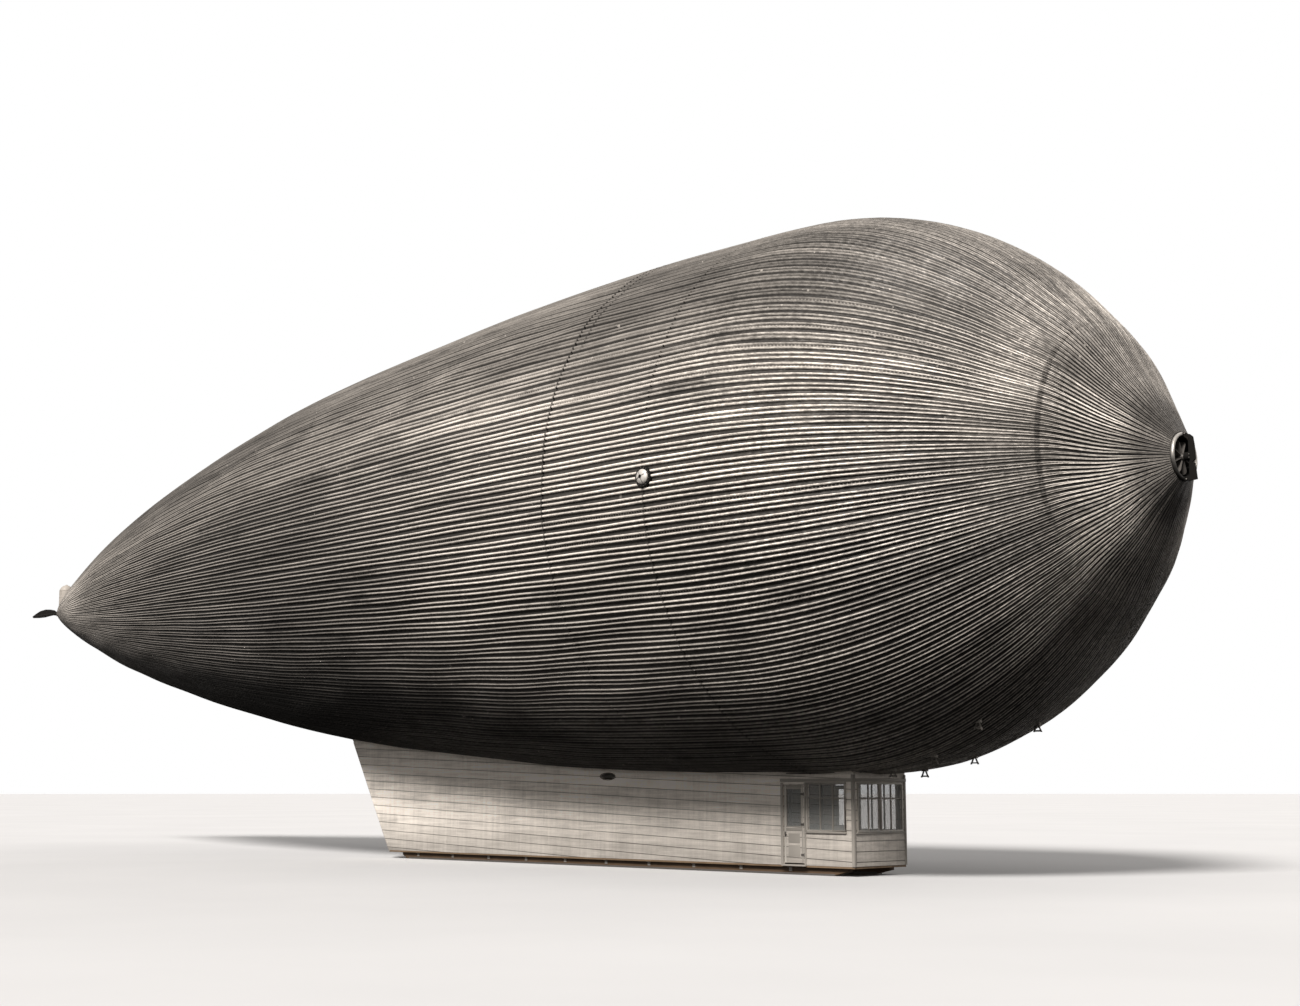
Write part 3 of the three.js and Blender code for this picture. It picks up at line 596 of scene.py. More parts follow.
def skin(x, columns=None):
    """Points of the corrugated skin at stations x (real m): model-metre vertices (rows, columns, 3), crest 0..1, lanes, run."""
    x = np.asarray(x, float)[:, None, None]
    pair = np.arange(PAIRS)[None, :, None]
    odd = (pair % 2 == 1)
    cap = step(62.2, 63.15, x)
    twin = step(63.45, 63.95, x)
    t = T8[None, None, :] * (1 - cap) + CAP_ONE[None, None, :] * cap
    t = t * (1 - twin) + np.where(odd, CAP_ODD, CAP_EVEN) * twin
    r = hull_r(x)
    width = 2 * math.pi * r / PAIRS
    # how deep and how clearly paired the ridges are along the hull
    fade = step(2.6, 9.0, x) * .8 + .2
    fade = fade * (1 - step(64.1, 64.55, x) * .92)
    a, b, c, d = (lane_seed[i][None, :, None] for i in range(4))
    high = 1 + .07 * lane_high[None, :, None] * np.ones_like(x) + .10 * np.sin(x * .7 + a) * np.sin(x * .23 + b)
    depth = width * DEPTH * fade * np.clip(high, .6, 1.3) * (1 + .7 * cap)
    mid = .14 + .07 * lane_mid[None, :, None] + .08 * np.sin(x * .37 + c)
    mid = np.clip(mid, .02, .4)
    mid = mid + (1 - mid) * (1 - step(5.0, 12.0, x)) * .85
    mid = mid + (1 - mid) * cap * .8
    column = np.arange(8)[None, None, :]
    h = np.where((column == 3) | (column == 4), mid, np.where((column == 0) | (column == 7), 0.0, 1.0)) * np.ones_like(depth)
    joined = ((column == 0) & odd) | ((column == 7) & ~odd)
    h = np.where(joined, .6 * twin, h)
    # one ridge of a pair stands a little lower than the other
    lean = .10 * np.sin(x * .5 + d)
    h = np.where((column == 5) | (column == 6), h * (1 - np.clip(lean, 0, .2)), h)
    h = np.where((column == 1) | (column == 2), h * (1 - np.clip(-lean, 0, .2)), h)
    shift = .03 * np.sin(x * .45 + b) + .02 * np.sin(x * 1.3 + d)
    lane = pair + t + shift
    ang = lane / PAIRS * 2 * math.pi - math.pi / 2
    rad = r - depth * (1 - h)
    # shallow dents of the plating
    dent = 0
    for kx, ka, ph, am in dent_k:
        dent = dent + am * np.sin(kx * x + ka * ang + ph)
    rad = rad + dent * .0045 * step(0, 12, x) * (1 - step(60, 64, x) * .5)
    rad = np.maximum(rad, .02)
    n = x.shape[0]
    out = np.stack([np.broadcast_to(X(x), rad.shape), rad * S * np.cos(ang), AXIS + (rad * np.sin(ang) - sag(x)) * S], -1).reshape(n, PAIRS * 8, 3)
    crest = h.reshape(n, -1)
    run = np.broadcast_to(arc_of(x) * S, rad.shape).reshape(n, -1)
    return out, crest, np.broadcast_to(lane, rad.shape).reshape(n, -1), run


def shell(name, x0, x1, rows, replaces):
    """Closed shell: corrugated outside, plain inside, joined by end rims."""
    xs = stations(x0, x1, rows)
    out, crest, lane, run = skin(xs)
    n, m = out.shape[:2]
    xi = stations(x0, x1, max(2, rows // 6))
    inner = []
    for q in xi:
        r = hull_r(q)
        w = 2 * math.pi * r / PAIRS
        ri = (r - w * DEPTH * 1.35) * S - FLOOR_IN
        a = (np.arange(PAIRS) / PAIRS) * 2 * math.pi - math.pi / 2
        inner.append(np.stack([np.full(PAIRS, X(q)), ri * np.cos(a), AXIS + ri * np.sin(a) - float(sag(q)) * S], -1))
    inner = np.array(inner)
    verts = np.concatenate([out.reshape(-1, 3), inner.reshape(-1, 3)])
    i, j = np.meshgrid(np.arange(n - 1), np.arange(m), indexing="ij")
    j2 = (j + 1) % m
    quads = np.stack([i * m + j, i * m + j2, (i + 1) * m + j2, (i + 1) * m + j], -1).reshape(-1, 4)
    base = n * m
    ni = len(xi)
    i3, j3 = np.meshgrid(np.arange(ni - 1), np.arange(PAIRS), indexing="ij")
    j4 = (j3 + 1) % PAIRS
    inq = np.stack([base + i3 * PAIRS + j3, base + (i3 + 1) * PAIRS + j3, base + (i3 + 1) * PAIRS + j4, base + i3 * PAIRS + j4], -1).reshape(-1, 4)
    faces = quads.tolist() + inq.tolist()
    for end in (0, 1):
        o = 0 if end == 0 else (n - 1) * m
        q = base + (0 if end == 0 else (ni - 1) * PAIRS)
        for p in range(PAIRS):
            p2 = (p + 1) % PAIRS
            ring = [o + (p * 8 + s - 1) % m for s in range(9)]  # from the last column of the lane before
            tri = [(ring[s], ring[s + 1], q + p) for s in range(0, 5)]
            tri.append((ring[5], q + p2, q + p))
            tri += [(ring[s], ring[s + 1], q + p2) for s in range(5, 8)]
            for f in tri:
                faces.append(list(f) if end == 1 else list(reversed(f)))
    me = bpy.data.meshes.new(name)
    me.from_pydata(verts.tolist(), [], faces)
    me.update()
    nf = len(me.polygons)
    # edges of the rims are sharp
    attr = me.attributes.new("crest", "FLOAT", "POINT")
    attr.data.foreach_set("value", np.concatenate([crest.ravel(), np.zeros(len(inner.reshape(-1, 3)))]).astype(np.float32))
    lanes = me.uv_layers.new(name="Lanes")
    bake = me.uv_layers.new(name="OFBake")
    vi = np.zeros(len(me.loops), np.int32)
    me.loops.foreach_get("vertex_index", vi)
    vlane = np.concatenate([lane.ravel(), np.tile(np.arange(PAIRS, dtype=float), ni)])
    vrun = np.concatenate([run.ravel(), np.repeat(arc_of(xi) * S, PAIRS)])
    u, v = vlane[vi], vrun[vi]
    # a face that crosses the end of the count goes on past it
    starts = np.zeros(nf, np.int32)
    totals = np.zeros(nf, np.int32)
    me.polygons.foreach_get("loop_start", starts)
    me.polygons.foreach_get("loop_total", totals)
    face_of = np.repeat(np.arange(nf), totals)
    top = np.maximum.reduceat(u, starts)
    u = np.where((top[face_of] - u) > PAIRS / 2, u + PAIRS, u)
    lanes.uv.foreach_set("vector", np.stack([u, v], -1).astype(np.float32).ravel())
    span = arc_of(x1) * S - arc_of(x0) * S
    inside = vi >= base
    nq = len(quads) * 4
    bu = (u / (PAIRS + 1)) * .998 + .001
    bv = .02 + .96 * (v - arc_of(x0) * S) / span
    outer = np.arange(len(vi)) < nq
    bv = np.where(outer, .12 + .87 * (v - arc_of(x0) * S) / span, .005 + .10 * (v - arc_of(x0) * S) / span)
    bake.uv.foreach_set("vector", np.stack([bu, np.clip(bv, 0, 1)], -1).astype(np.float32).ravel())
    ob = bpy.data.objects.new(name, me)
    bpy.context.scene.collection.objects.link(ob)
    me.materials.append(LOOK_HULL)
    me.polygons.foreach_set("use_smooth", [True] * nf)
    ev = np.zeros(len(me.edges) * 2, np.int32)
    me.edges.foreach_get("vertices", ev)
    ev = ev.reshape(-1, 2)
    rim_rows = lambda q: ((q < m) | ((q >= (n - 1) * m) & (q < n * m)) | ((q >= base) & (q < base + PAIRS)) | (q >= base + (ni - 1) * PAIRS))
    same_row = rim_rows(ev[:, 0]) & rim_rows(ev[:, 1])
    sharp = me.attributes.new("sharp_edge", "BOOLEAN", "EDGE")
    sharp.data.foreach_set("value", same_row)
    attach(ob, "airframe")
    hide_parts(*replaces)
    return ob


shell("hull_tail_cone", .48, 3.23, 14, ["tail_cone"])
shell("hull_aft_a", 3.23, 25.5, 64, ["aft_envelope"])
shell("hull_aft_b", 25.5, 47.68, 68, ["aft_envelope"])
shell("hull_mid", 47.72, 52.08, 16, ["mid_envelope"])
shell("hull_forward", 52.12, 62.47, 68, ["forward_envelope"])
shell("hull_nose", 62.53, 64.59, 36, ["nose_envelope"])


def seam(name, x, half, lift, node):
    """Strip over a seam that follows the ridges."""
    xs = np.array([x - half, x, x + half])
    out, crest, lane, run = skin(xs)
    centre = np.array([0, 0, AXIS])
    radial = out - centre
    radial[..., 0] = 0
    radial /= np.linalg.norm(radial, axis=-1, keepdims=True)
    n, m = out.shape[:2]
    up = out + radial * lift
    low = out - radial * .004
    verts = np.concatenate([up.reshape(-1, 3), low.reshape(-1, 3)])
    q = []
    j = np.arange(m)
    j2 = (j + 1) % m
    for i in range(n - 1):
        q.append(np.stack([i * m + j, i * m + j2, (i + 1) * m + j2, (i + 1) * m + j], -1))
        b = n * m
        q.append(np.stack([b + i * m + j, b + (i + 1) * m + j, b + (i + 1) * m + j2, b + i * m + j2], -1))
    b = n * m
    q.append(np.stack([j, b + j, b + j2, j2], -1))
    e = (n - 1) * m
    q.append(np.stack([e + j, e + j2, b + e + j2, b + e + j], -1))
    ob = piece(name, verts, np.concatenate(q).tolist(), LOOK_HULL, smooth=True, replaces=[node], slot="band_metal", sharp_angle=60)
    me = ob.data
    me.attributes.new("crest", "FLOAT", "POINT").data.foreach_set("value", np.tile(crest.ravel(), 2).astype(np.float32))
    vi = np.zeros(len(me.loops), np.int32)
    me.loops.foreach_get("vertex_index", vi)
    u, v = np.tile(lane.ravel(), 2)[vi], np.tile(run.ravel(), 2)[vi]
    me.uv_layers.new(name="Lanes").uv.foreach_set("vector", np.stack([u, v], -1).astype(np.float32).ravel())
    return ob


seam("seam_strip_aft", 47.7, .03, .0022, "seam_band_aft")
seam("seam_strip_mid", 52.1, .028, .002, "seam_band_mid")
seam("seam_strip_nose", 62.5, .03, .003, "seam_band_nose")

# ---------------------------------------------------------------- nose: ring, housing, wheel, bridge
ring = [(64.40, .64), (64.44, .60), (64.60, .597), (64.655, .602), (64.678, .62), (64.68, .645), (64.672, .672), (64.65, .688),
        (64.615, .69), (64.59, .683), (64.575, .672), (64.5, .668)]
lathe("nose_ring_look", [(X(x), r * S) for x, r in ring], LOOK_RING, 128, replaces=["nose_ring"], slot="bright_metal")
cup = [(63.70, 0), (63.70, .56), (63.73, .588), (64.58, .59), (64.6, .585), (64.6, .568), (64.58, .565), (63.78, .565), (63.74, .53),
       (63.735, .2), (63.75, .16), (63.94, .15), (63.95, .14), (63.95, .062), (63.74, .06), (63.74, 0)]
lathe("blower_housing_look", [(X(x), r * S) for x, r in cup], LOOK_DARKEST, 96, replaces=["blower_housing"], slot="dark_metal")

bm = bmesh.new()
hub = [(63.8, 0), (63.8, .045), (63.805, .05), (63.975, .05), (63.985, .06), (63.99, .30), (63.99, .494), (63.995, .5), (64.015, .5), (64.02, .494),
       (64.02, .2), (64.03, .13), (64.06, .11), (64.60, .11), (64.64, .085), (64.645, .055), (64.65, .05), (64.755, .05), (64.76, .045), (64.76, 0)]
lathe("blower_wheel_hub", [(X(x), r * S) for x, r in hub], LOOK_DARK, 64, body="blower", replaces=["blower_wheel"], slot="dark_metal")
for i in range(8):
    t = (i + .5) / 8 * 2 * math.pi
    turn = Matrix.Rotation(t, 4, "X")
    pts = [(64.015, .09), (64.57, .09), (64.6, .13), (64.6, .40), (64.59, .44), (64.565, .475), (64.52, .5), (64.015, .5)]
    vs = []
    for s in (-1, 1):
        vs.append([bm.verts.new(turn @ Vector((X(x), s * .0035, r * S))) for x, r in pts])
    k = len(pts)
    bm.faces.new(vs[0])
    bm.faces.new(list(reversed(vs[1])))
    for a in range(k):
        b = (a + 1) % k
        bm.faces.new((vs[0][b], vs[0][a], vs[1][a], vs[1][b]))
    # stiffening lip along the front edge and a foot angle on the disc
    for x0, x1, r0, r1, w in ((64.555, 64.585, .14, .42, .011), (64.02, 64.04, .16, .47, .02)):
        made = add_box(bm, X(x0), X(x1), -w / 2, w / 2, r0 * S, r1 * S)
        bmesh.ops.transform(bm, matrix=turn, verts=made)
    for q in (.2, .3, .4):
        add_dome(bm, turn @ Vector((X(64.04), .007, q * S)), (1, 0, 0), .004, .003, 6)
for v in bm.verts:
    v.co.z += NOSE
from_bmesh("blower_vanes", bm, LOOK_DARK, 0, body="blower", slot="dark_metal")

refine("bearing_bridge", LOOK_DARKEST, .004, slot="dark_metal", sharp=25)
bm = bmesh.new()
for s in (-1, 1):
    for y in (-.09, .09):
        add_dome(bm, (X(64.711), y * S, NOSE + s * .645 * S), (1, 0, 0), .011, .008, 10)
for i in range(6):
    t = i / 6 * 2 * math.pi + .5
    add_dome(bm, (X(64.82), math.cos(t) * .095 * S, NOSE + math.sin(t) * .095 * S), (1, 0, 0), .006, .005, 8)
from_bmesh("bridge_bolts", bm, LOOK_TRIM, 0, slot="dark_metal")

# ---------------------------------------------------------------- tail
def rp(x, y, z):  # real metres -> model point
    return Vector((X(x), y * S, z * S))


def rbox(bm, x0, x1, y0, y1, z0, z1, turn=None, about=None):
    return add_box(bm, X(x0), X(x1), y0 * S, y1 * S, z0 * S, z1 * S, turn, about)


def rtube(bm, a, b, r, sides=12, r2=None):
    return add_tube(bm, rp(*a), rp(*b), r * S, sides, None if r2 is None else r2 * S)


refine("tail_cap", LOOK_CAP, .004, slot="dark_metal", sharp=25)
bm = bmesh.new()
for i in range(14):  # rivets round the tail cap
    t = (i + .5) / 14 * 2 * math.pi
    for x, r in ((.10, .215), (.40, .352)):
        add_dome(bm, (X(x), math.cos(t) * r * S, TAIL + math.sin(t) * r * S), (-.4, math.cos(t), math.sin(t)), .006, .005, 8)
from_bmesh("tail_cap_rivets", bm, LOOK_DARK, 0, slot="dark_metal")
refine("tail_fork", LOOK_DARK, .002, slot="dark_metal", sharp=25)
refine("tail_vane", LOOK_DARKEST, .0015, body="vane", slot="dark_metal", sharp=40)
leaf = [(-.31, .1), (-.55, .2), (-1.0, .27), (-1.55, .31), (-2.1, .27), (-2.6, .15), (-2.965, .03), (-2.86, -.03), (-2.2, -.07), (-1.55, -.08),
        (-1.1, -.05), (-.65, -.03), (-.31, -.065)]
bm = bmesh.new()
zt = TAIL / S
for (x0, h0), (x1, h1) in zip(leaf, leaf[1:]):
    rtube(bm, (x0, 0, zt + h0), (x1, 0, zt + h1), .017, 8)
    bmesh.ops.create_uvsphere(bm, u_segments=8, v_segments=6, radius=.017 * S, matrix=Matrix.Translation(rp(x1, 0, zt + h1)))
for x, lo, hi in ((-.8, -.035, .235), (-1.35, -.065, .30), (-1.9, -.07, .285), (-2.4, -.05, .19)):
    rbox(bm, x - .02, x + .02, -.022, .022, zt + lo, zt + hi)
    for sy in (-1, 1):
        for h in (lo + .04, (lo + hi) / 2, hi - .04):
            add_dome(bm, rp(x, sy * .022, zt + h), (0, sy, 0), .005, .004, 8)
rbox(bm, -2.6, -.24, -.019, .019, zt + .04, zt + .08)
for h in (-.085, .085):
    rtube(bm, (-.16, 0, zt + h - .012), (-.16, 0, zt + h + .012), .062, 16)
from_bmesh("tail_vane_frame", bm, LOOK_VANE, 0, body="vane", slot="dark_metal")

bm = bmesh.new()  # the hood, its dome and barrel made finely round
bm.from_mesh(NODES["tail_valve_hood"].data)
bmesh.ops.subdivide_edges(bm, edges=bm.edges, cuts=3, use_grid_fill=True)
mid = rp(.62, 0, 13.02 - .12)
for v in bm.verts:
    d = v.co - mid
    if d.z < -.33 * S:
        continue
    if d.z < 0:
        d.z = 0
    if d.length > .31 * S:
        k = .34 * S / d.length
        v.co += d * (k - 1)
from_bmesh("tail_valve_hood_look", bm, LOOK_HOOD, 0, replaces=["tail_valve_hood"], slot="bright_metal")
bm = bmesh.new()
for z, r, h in ((13.06, .345, .035), (12.70, .345, .03)):
    made = bmesh.ops.create_cone(bm, cap_ends=True, segments=40, radius1=r * S, radius2=r * S, depth=h * S)["verts"]
    bmesh.ops.translate(bm, verts=made, vec=(X(.62), 0, (z - .12) * S))
for i in range(12):
    t = (i + .5) / 12 * 2 * math.pi
    c, d = math.cos(t), math.sin(t)
    rbox(bm, .62 + c * .338 - .012, .62 + c * .338 + .012, d * .338 - .012, d * .338 + .012, 12.72 if c < .5 else 12.95, 12.93)
    add_dome(bm, (X(.62 + c * .345), d * .345 * S, (13.06 - .12) * S), (c, d, 0), .006, .005, 8)
add_dome(bm, rp(.62, 0, 13.235), (0, 0, 1), .028, .02, 20)
from_bmesh("tail_hood_bands", bm, LOOK_HOOD, 0, slot="bright_metal")

# ---------------------------------------------------------------- side valves and line eyes
for tag, s in (("right", -1), ("left", 1)):
    z = AXIS - .263 * S
    c = (X(52.18), 0, z)
    turned = lambda rows: [(y * S, r * S) for y, r in rows]
    lathe(f"valve_seat_{tag}", turned([(8.70, 0), (8.70, .30), (8.875, .30), (8.887, .29), (8.887, .25), (8.878, .24), (8.878, 0)]), LOOK_DARKEST, 64,
          c, (0, s, 0), replaces=[f"side_valve_{tag}"], slot="dark_metal")
    lathe(f"valve_disc_{tag}", turned([(8.865, 0), (8.865, .222), (8.90, .226), (8.915, .218), (8.945, .19), (8.968, .14), (8.983, .08), (8.987, 0)]),
          LOOK_BRIGHT, 64, c, (0, s, 0), slot="bright_metal")
    lathe(f"valve_knob_{tag}", turned([(8.97, 0), (8.97, .06), (8.992, .055), (9.0, .035), (9.004, 0)]), LOOK_DARKEST, 32, c, (0, s, 0), slot="dark_metal")
    bm = bmesh.new()
    for i in range(16):
        t = (i + .5) / 16 * 2 * math.pi
        add_dome(bm, (X(52.18) + math.cos(t) * .273 * S, s * 8.887 * S, z + math.sin(t) * .273 * S), (0, s, 0), .007, .006, 8)
    for i in range(4):  # guard bars over the disc
        t = i / 4 * 2 * math.pi + .4
        pts = [(.255, 8.885), (.22, 8.925), (.15, 8.975), (.05, 8.995)]
        for (r0, y0), (r1, y1) in zip(pts, pts[1:]):
            add_tube(bm, (X(52.18) + math.cos(t) * r0 * S, s * y0 * S, z + math.sin(t) * r0 * S),
                     (X(52.18) + math.cos(t) * r1 * S, s * y1 * S, z + math.sin(t) * r1 * S), .004, 8)
    from_bmesh(f"valve_bolts_{tag}", bm, LOOK_DARK, 0, slot="dark_metal")
    for i, (x, y) in enumerate(((54.93, .81), (56.64, 1.04), (58.59, 1.55)), 1):
        refine(f"line_eye_{tag}_{i}", LOOK_TRIM, .003, slot="band_metal", sharp=25)
        zz = hull_low(x, y)
        bm = bmesh.new()
        for dx in (-.075, .075):
            for dy in (-.035, .035):
                add_dome(bm, rp(x + dx, s * y + dy, zz - .052), (0, 0, -1), .005, .005, 8)
        rtube(bm, (x - .15, s * y, zz - .1875), (x + .15, s * y, zz - .1875), .014, 10)
        from_bmesh(f"line_eye_pin_{tag}_{i}", bm, LOOK_DARK, 0, slot="dark_metal")

# ---------------------------------------------------------------- car
RAKE = .59
stern_x = lambda z: 27.94 + RAKE * (4.65 - z)
for node, look, bevel in (("car_wall_right", LOOK_CAR, .002), ("car_wall_left", LOOK_CAR, .002), ("car_stern_wall", LOOK_CAR, .002),
                          ("car_front_wall", LOOK_CAR, .002), ("cabin_bulkhead", LOOK_CAR, .002), ("car_floor", LOOK_FLOOR, .002),
                          ("skid_right", LOOK_SKID, .006), ("skid_left", LOOK_SKID, .006)):
    refine(node, look, bevel, sharp=25)


def strakes(name, wall, s):
    """Lapped sheets on the outside of a side wall, kept to the wall's own outline and openings."""
    bm = bmesh.new()
    for n in range(-1, 15):
        cuts = [26.0] + [32.2 + (n % 2) * 1.9 + 3.8 * i for i in range(6)] + [54.4]
        for x0, x1 in zip(cuts, cuts[1:]):
            x0, x1 = x0 + .004, x1 - .004
            z = lambda x: 4.62 - .315 * n - .04 * (x - 28.2)
            prof = [(1.3015, 0), (1.3035, 0), (1.317, -.309), (1.315, -.311), (1.3015, -.311)]
            ends = [[bm.verts.new(rp(x, s * y, z(x) + h)) for y, h in prof] for x in (x0, x1)]
            m = len(prof)
            bm.faces.new(ends[0])
            bm.faces.new(list(reversed(ends[1])))
            for i in range(m):
                bm.faces.new((ends[0][(i + 1) % m], ends[0][i], ends[1][i], ends[1][(i + 1) % m]))
    bmesh.ops.recalc_face_normals(bm, faces=bm.faces)
    me = bpy.data.meshes.new(name)
    bm.to_mesh(me)
    bm.free()
    ob = bpy.data.objects.new(name, me)
    bpy.context.scene.collection.objects.link(ob)
    # the wall's outline, drawn out sideways as the cutter
    bm = bmesh.new()
    bm.from_mesh(NODES[wall].data)
    bmesh.ops.remove_doubles(bm, verts=bm.verts, dist=1e-5)
    for v in bm.verts:
        v.co.y = s * (.6495 if abs(v.co.y) < .64 else .68)
    bmesh.ops.recalc_face_normals(bm, faces=bm.faces)
    cme = bpy.data.meshes.new("cutter")
    bm.to_mesh(cme)
    bm.free()
    cutter = bpy.data.objects.new("cutter", cme)
    bpy.context.scene.collection.objects.link(cutter)
    mod = ob.modifiers.new("cut", "BOOLEAN")
    mod.operation, mod.solver, mod.object = "INTERSECT", "EXACT", cutter
    got = ob.evaluated_get(bpy.context.evaluated_depsgraph_get())
    done = bpy.data.meshes.new_from_object(got)
    ob.modifiers.clear()
    ob.data = done
    bpy.data.objects.remove(cutter)
    bpy.data.meshes.remove(cme)
    return dress(ob, LOOK_CAR, smooth=False, slot="car_plating")


def frame_round(bm, x0, x1, z0, z1, s, w=.07, y0=1.3, y1=1.345, lip=.02):
    """Raised rectangular frame round an opening of a side wall; lip is not used."""
    for a, b, c, d in ((x0 - w, x1 + w, z1, z1 + w), (x0 - w, x1 + w, z0 - w, z0), (x0 - w, x0, z0, z1), (x1, x1 + w, z0, z1)):
        rbox(bm, a, b, min(s * y0, s * y1), max(s * y0, s * y1), c, d)


for tag, s in (("right", -1), ("left", 1)):
    strakes(f"car_strakes_{tag}", f"car_wall_{tag}", s)
    side = lambda a, b: (min(s * a, s * b), max(s * a, s * b))
    # frames of the window and of the door opening, sill and header
    bm = bmesh.new()
    frame_round(bm, 51.975, 53.425, 1.395, 2.805, s, .065)
    for x in (52.45, 52.95):
        rbox(bm, x - .02, x + .02, *side(1.272, 1.325), 1.395, 2.805)
    rbox(bm, 51.98, 53.42, *side(1.275, 1.32), 2.36, 2.395)
    rbox(bm, 51.9, 53.5, *side(1.3, 1.375), 1.30, 1.335)
    from_bmesh(f"window_frame_{tag}", bm, LOOK_PALE, .0025, slot="car_trim", sharp=60)
    bm = bmesh.new()
    rbox(bm, 50.85, 50.945, *side(1.3, 1.34), .32, 2.86)
    rbox(bm, 51.812, 51.88, *side(1.3, 1.335), .32, 2.86)
    rbox(bm, 50.85, 53.775, *side(1.3, 1.36), 2.885, 2.985)
    rbox(bm, 50.9, 51.88, *side(1.3, 1.39), .27, .315)
    rbox(bm, 53.70, 53.79, *side(1.27, 1.335), .30, 3.1)
    from_bmesh(f"door_frame_{tag}", bm, LOOK_PALE, .003, slot="car_trim", sharp=60)
    # strip where the wall meets the hull
    bm = bmesh.new()
    xs = np.concatenate([np.linspace(28.02, 53.74, 53)])
    prev = None
    for x in xs:
        z = hull_low(x, 1.3)
        ring = [bm.verts.new(rp(x, s * y, z + h)) for y, h in ((1.296, -.075), (1.322, -.075), (1.33, -.06), (1.345, .0), (1.40, .018), (1.40, .034), (1.296, .03))]
        if prev:
            for i in range(len(ring)):
                bm.faces.new((prev[i], prev[(i + 1) % len(ring)], ring[(i + 1) % len(ring)], ring[i]))
        else:
            bm.faces.new(ring)
        prev = ring
    bm.faces.new(list(reversed(prev)))
    from_bmesh(f"hull_fillet_{tag}", bm, LOOK_CAR, 0, slot="car_plating")
    # rivets along the strip and the stern edge
    bm = bmesh.new()
    for i in range(100):
        x = 28.2 + i * .255
        add_dome(bm, rp(x, s * 1.326, hull_low(x, 1.3) - .055), (0, s, 0), .0045, .004, 6)
    for i in range(22):
        z = .55 + i * .18
        add_dome(bm, rp(stern_x(z) + .055, s * 1.317, z), (0, s, 0), .0045, .004, 6)
    from_bmesh(f"car_rivets_{tag}", bm, LOOK_CAR, 0, slot="car_plating")
    # corner angle along the raked stern edge
    bm = bmesh.new()
    a, b = rp(stern_x(4.55), s * 1.3, 4.55), rp(stern_x(.26), s * 1.3, .26)
    d = (b - a).normalized()
    nrm = Vector((-d.z, 0, d.x))
    if nrm.x > 0:
        nrm = -nrm
    for off, w in ((0, .05),):
        q = [a + nrm * .008, a - nrm * .028, b - nrm * .028, b + nrm * .008]
        lo = [bm.verts.new(v + Vector((0, -s * .01, 0))) for v in q]
        hi = [bm.verts.new(v + Vector((0, s * .009, 0))) for v in q]
        bm.faces.new(lo)
        bm.faces.new(list(reversed(hi)))
        for i in range(4):
            bm.faces.new((lo[(i + 1) % 4], lo[i], hi[i], hi[(i + 1) % 4]))
    from_bmesh(f"stern_angle_{tag}", bm, LOOK_CAR, .002, slot="car_plating")
    # vent: turned-out rim and louvre bars
    bm = bmesh.new()
    n = 40
    rings = []
    for y, f in ((1.30, 1.22), (1.335, 1.2), (1.345, 1.1), (1.335, 1.02), (1.262, 1.0), (1.262, 1.22)):
        rings.append([bm.verts.new(rp(42.92 + math.cos(t) * .36 * (1 + (f - 1) * .35), s * y, 3.1 + math.sin(t) * .11 * f))
                      for t in (2 * math.pi * i / n for i in range(n))])
    for r0, r1 in zip(rings, rings[1:] + rings[:1]):
        for i in range(n):
            bm.faces.new((r0[i], r0[(i + 1) % n], r1[(i + 1) % n], r1[i]))
    for h in (-.045, 0, .045):
        w = .36 * math.sqrt(1 - (h / .115) ** 2) - .005
        rbox(bm, 42.92 - w, 42.92 + w, *side(1.27, 1.295), 3.1 + h - .006, 3.1 + h + .006, Matrix.Rotation(s * .5, 4, "X"))
    from_bmesh(f"vent_rim_{tag}", bm, LOOK_TRIM, 0, slot="car_trim")

    # skid shoe, bolts and hangers
    bm = bmesh.new()
    for a, b in ((.905, .921), (1.159, 1.175)):
        rbox(bm, 31.6, 52.9, *side(a, b), .004, .062)
    for x in np.arange(32.0, 53.0, 1.05):
        for y, o in ((.905, -1), (1.175, 1)):
            add_dome(bm, rp(x, s * y, .034), (0, s * o, 0), .006, .005, 8)
    from_bmesh(f"skid_shoe_{tag}", bm, LOOK_IRON, .001, slot="dark_metal", sharp=60)
    bm = bmesh.new()
    for x in np.arange(32.2, 53.0, 2.1):
        for y, o in ((.92, -1), (1.16, 1)):
            rbox(bm, x - .06, x + .06, *side(y, y + o * .018), .10, .239)
            rbox(bm, x - .06, x + .06, *side(y, y + o * .09), .222, .239)
            for dx in (-.03, .03):
                add_dome(bm, rp(x + dx, s * (y + o * .018), .16), (0, s * o, 0), .006, .005, 8)
    from_bmesh(f"skid_hangers_{tag}", bm, LOOK_TRIM, .001, slot="dark_metal", sharp=60)

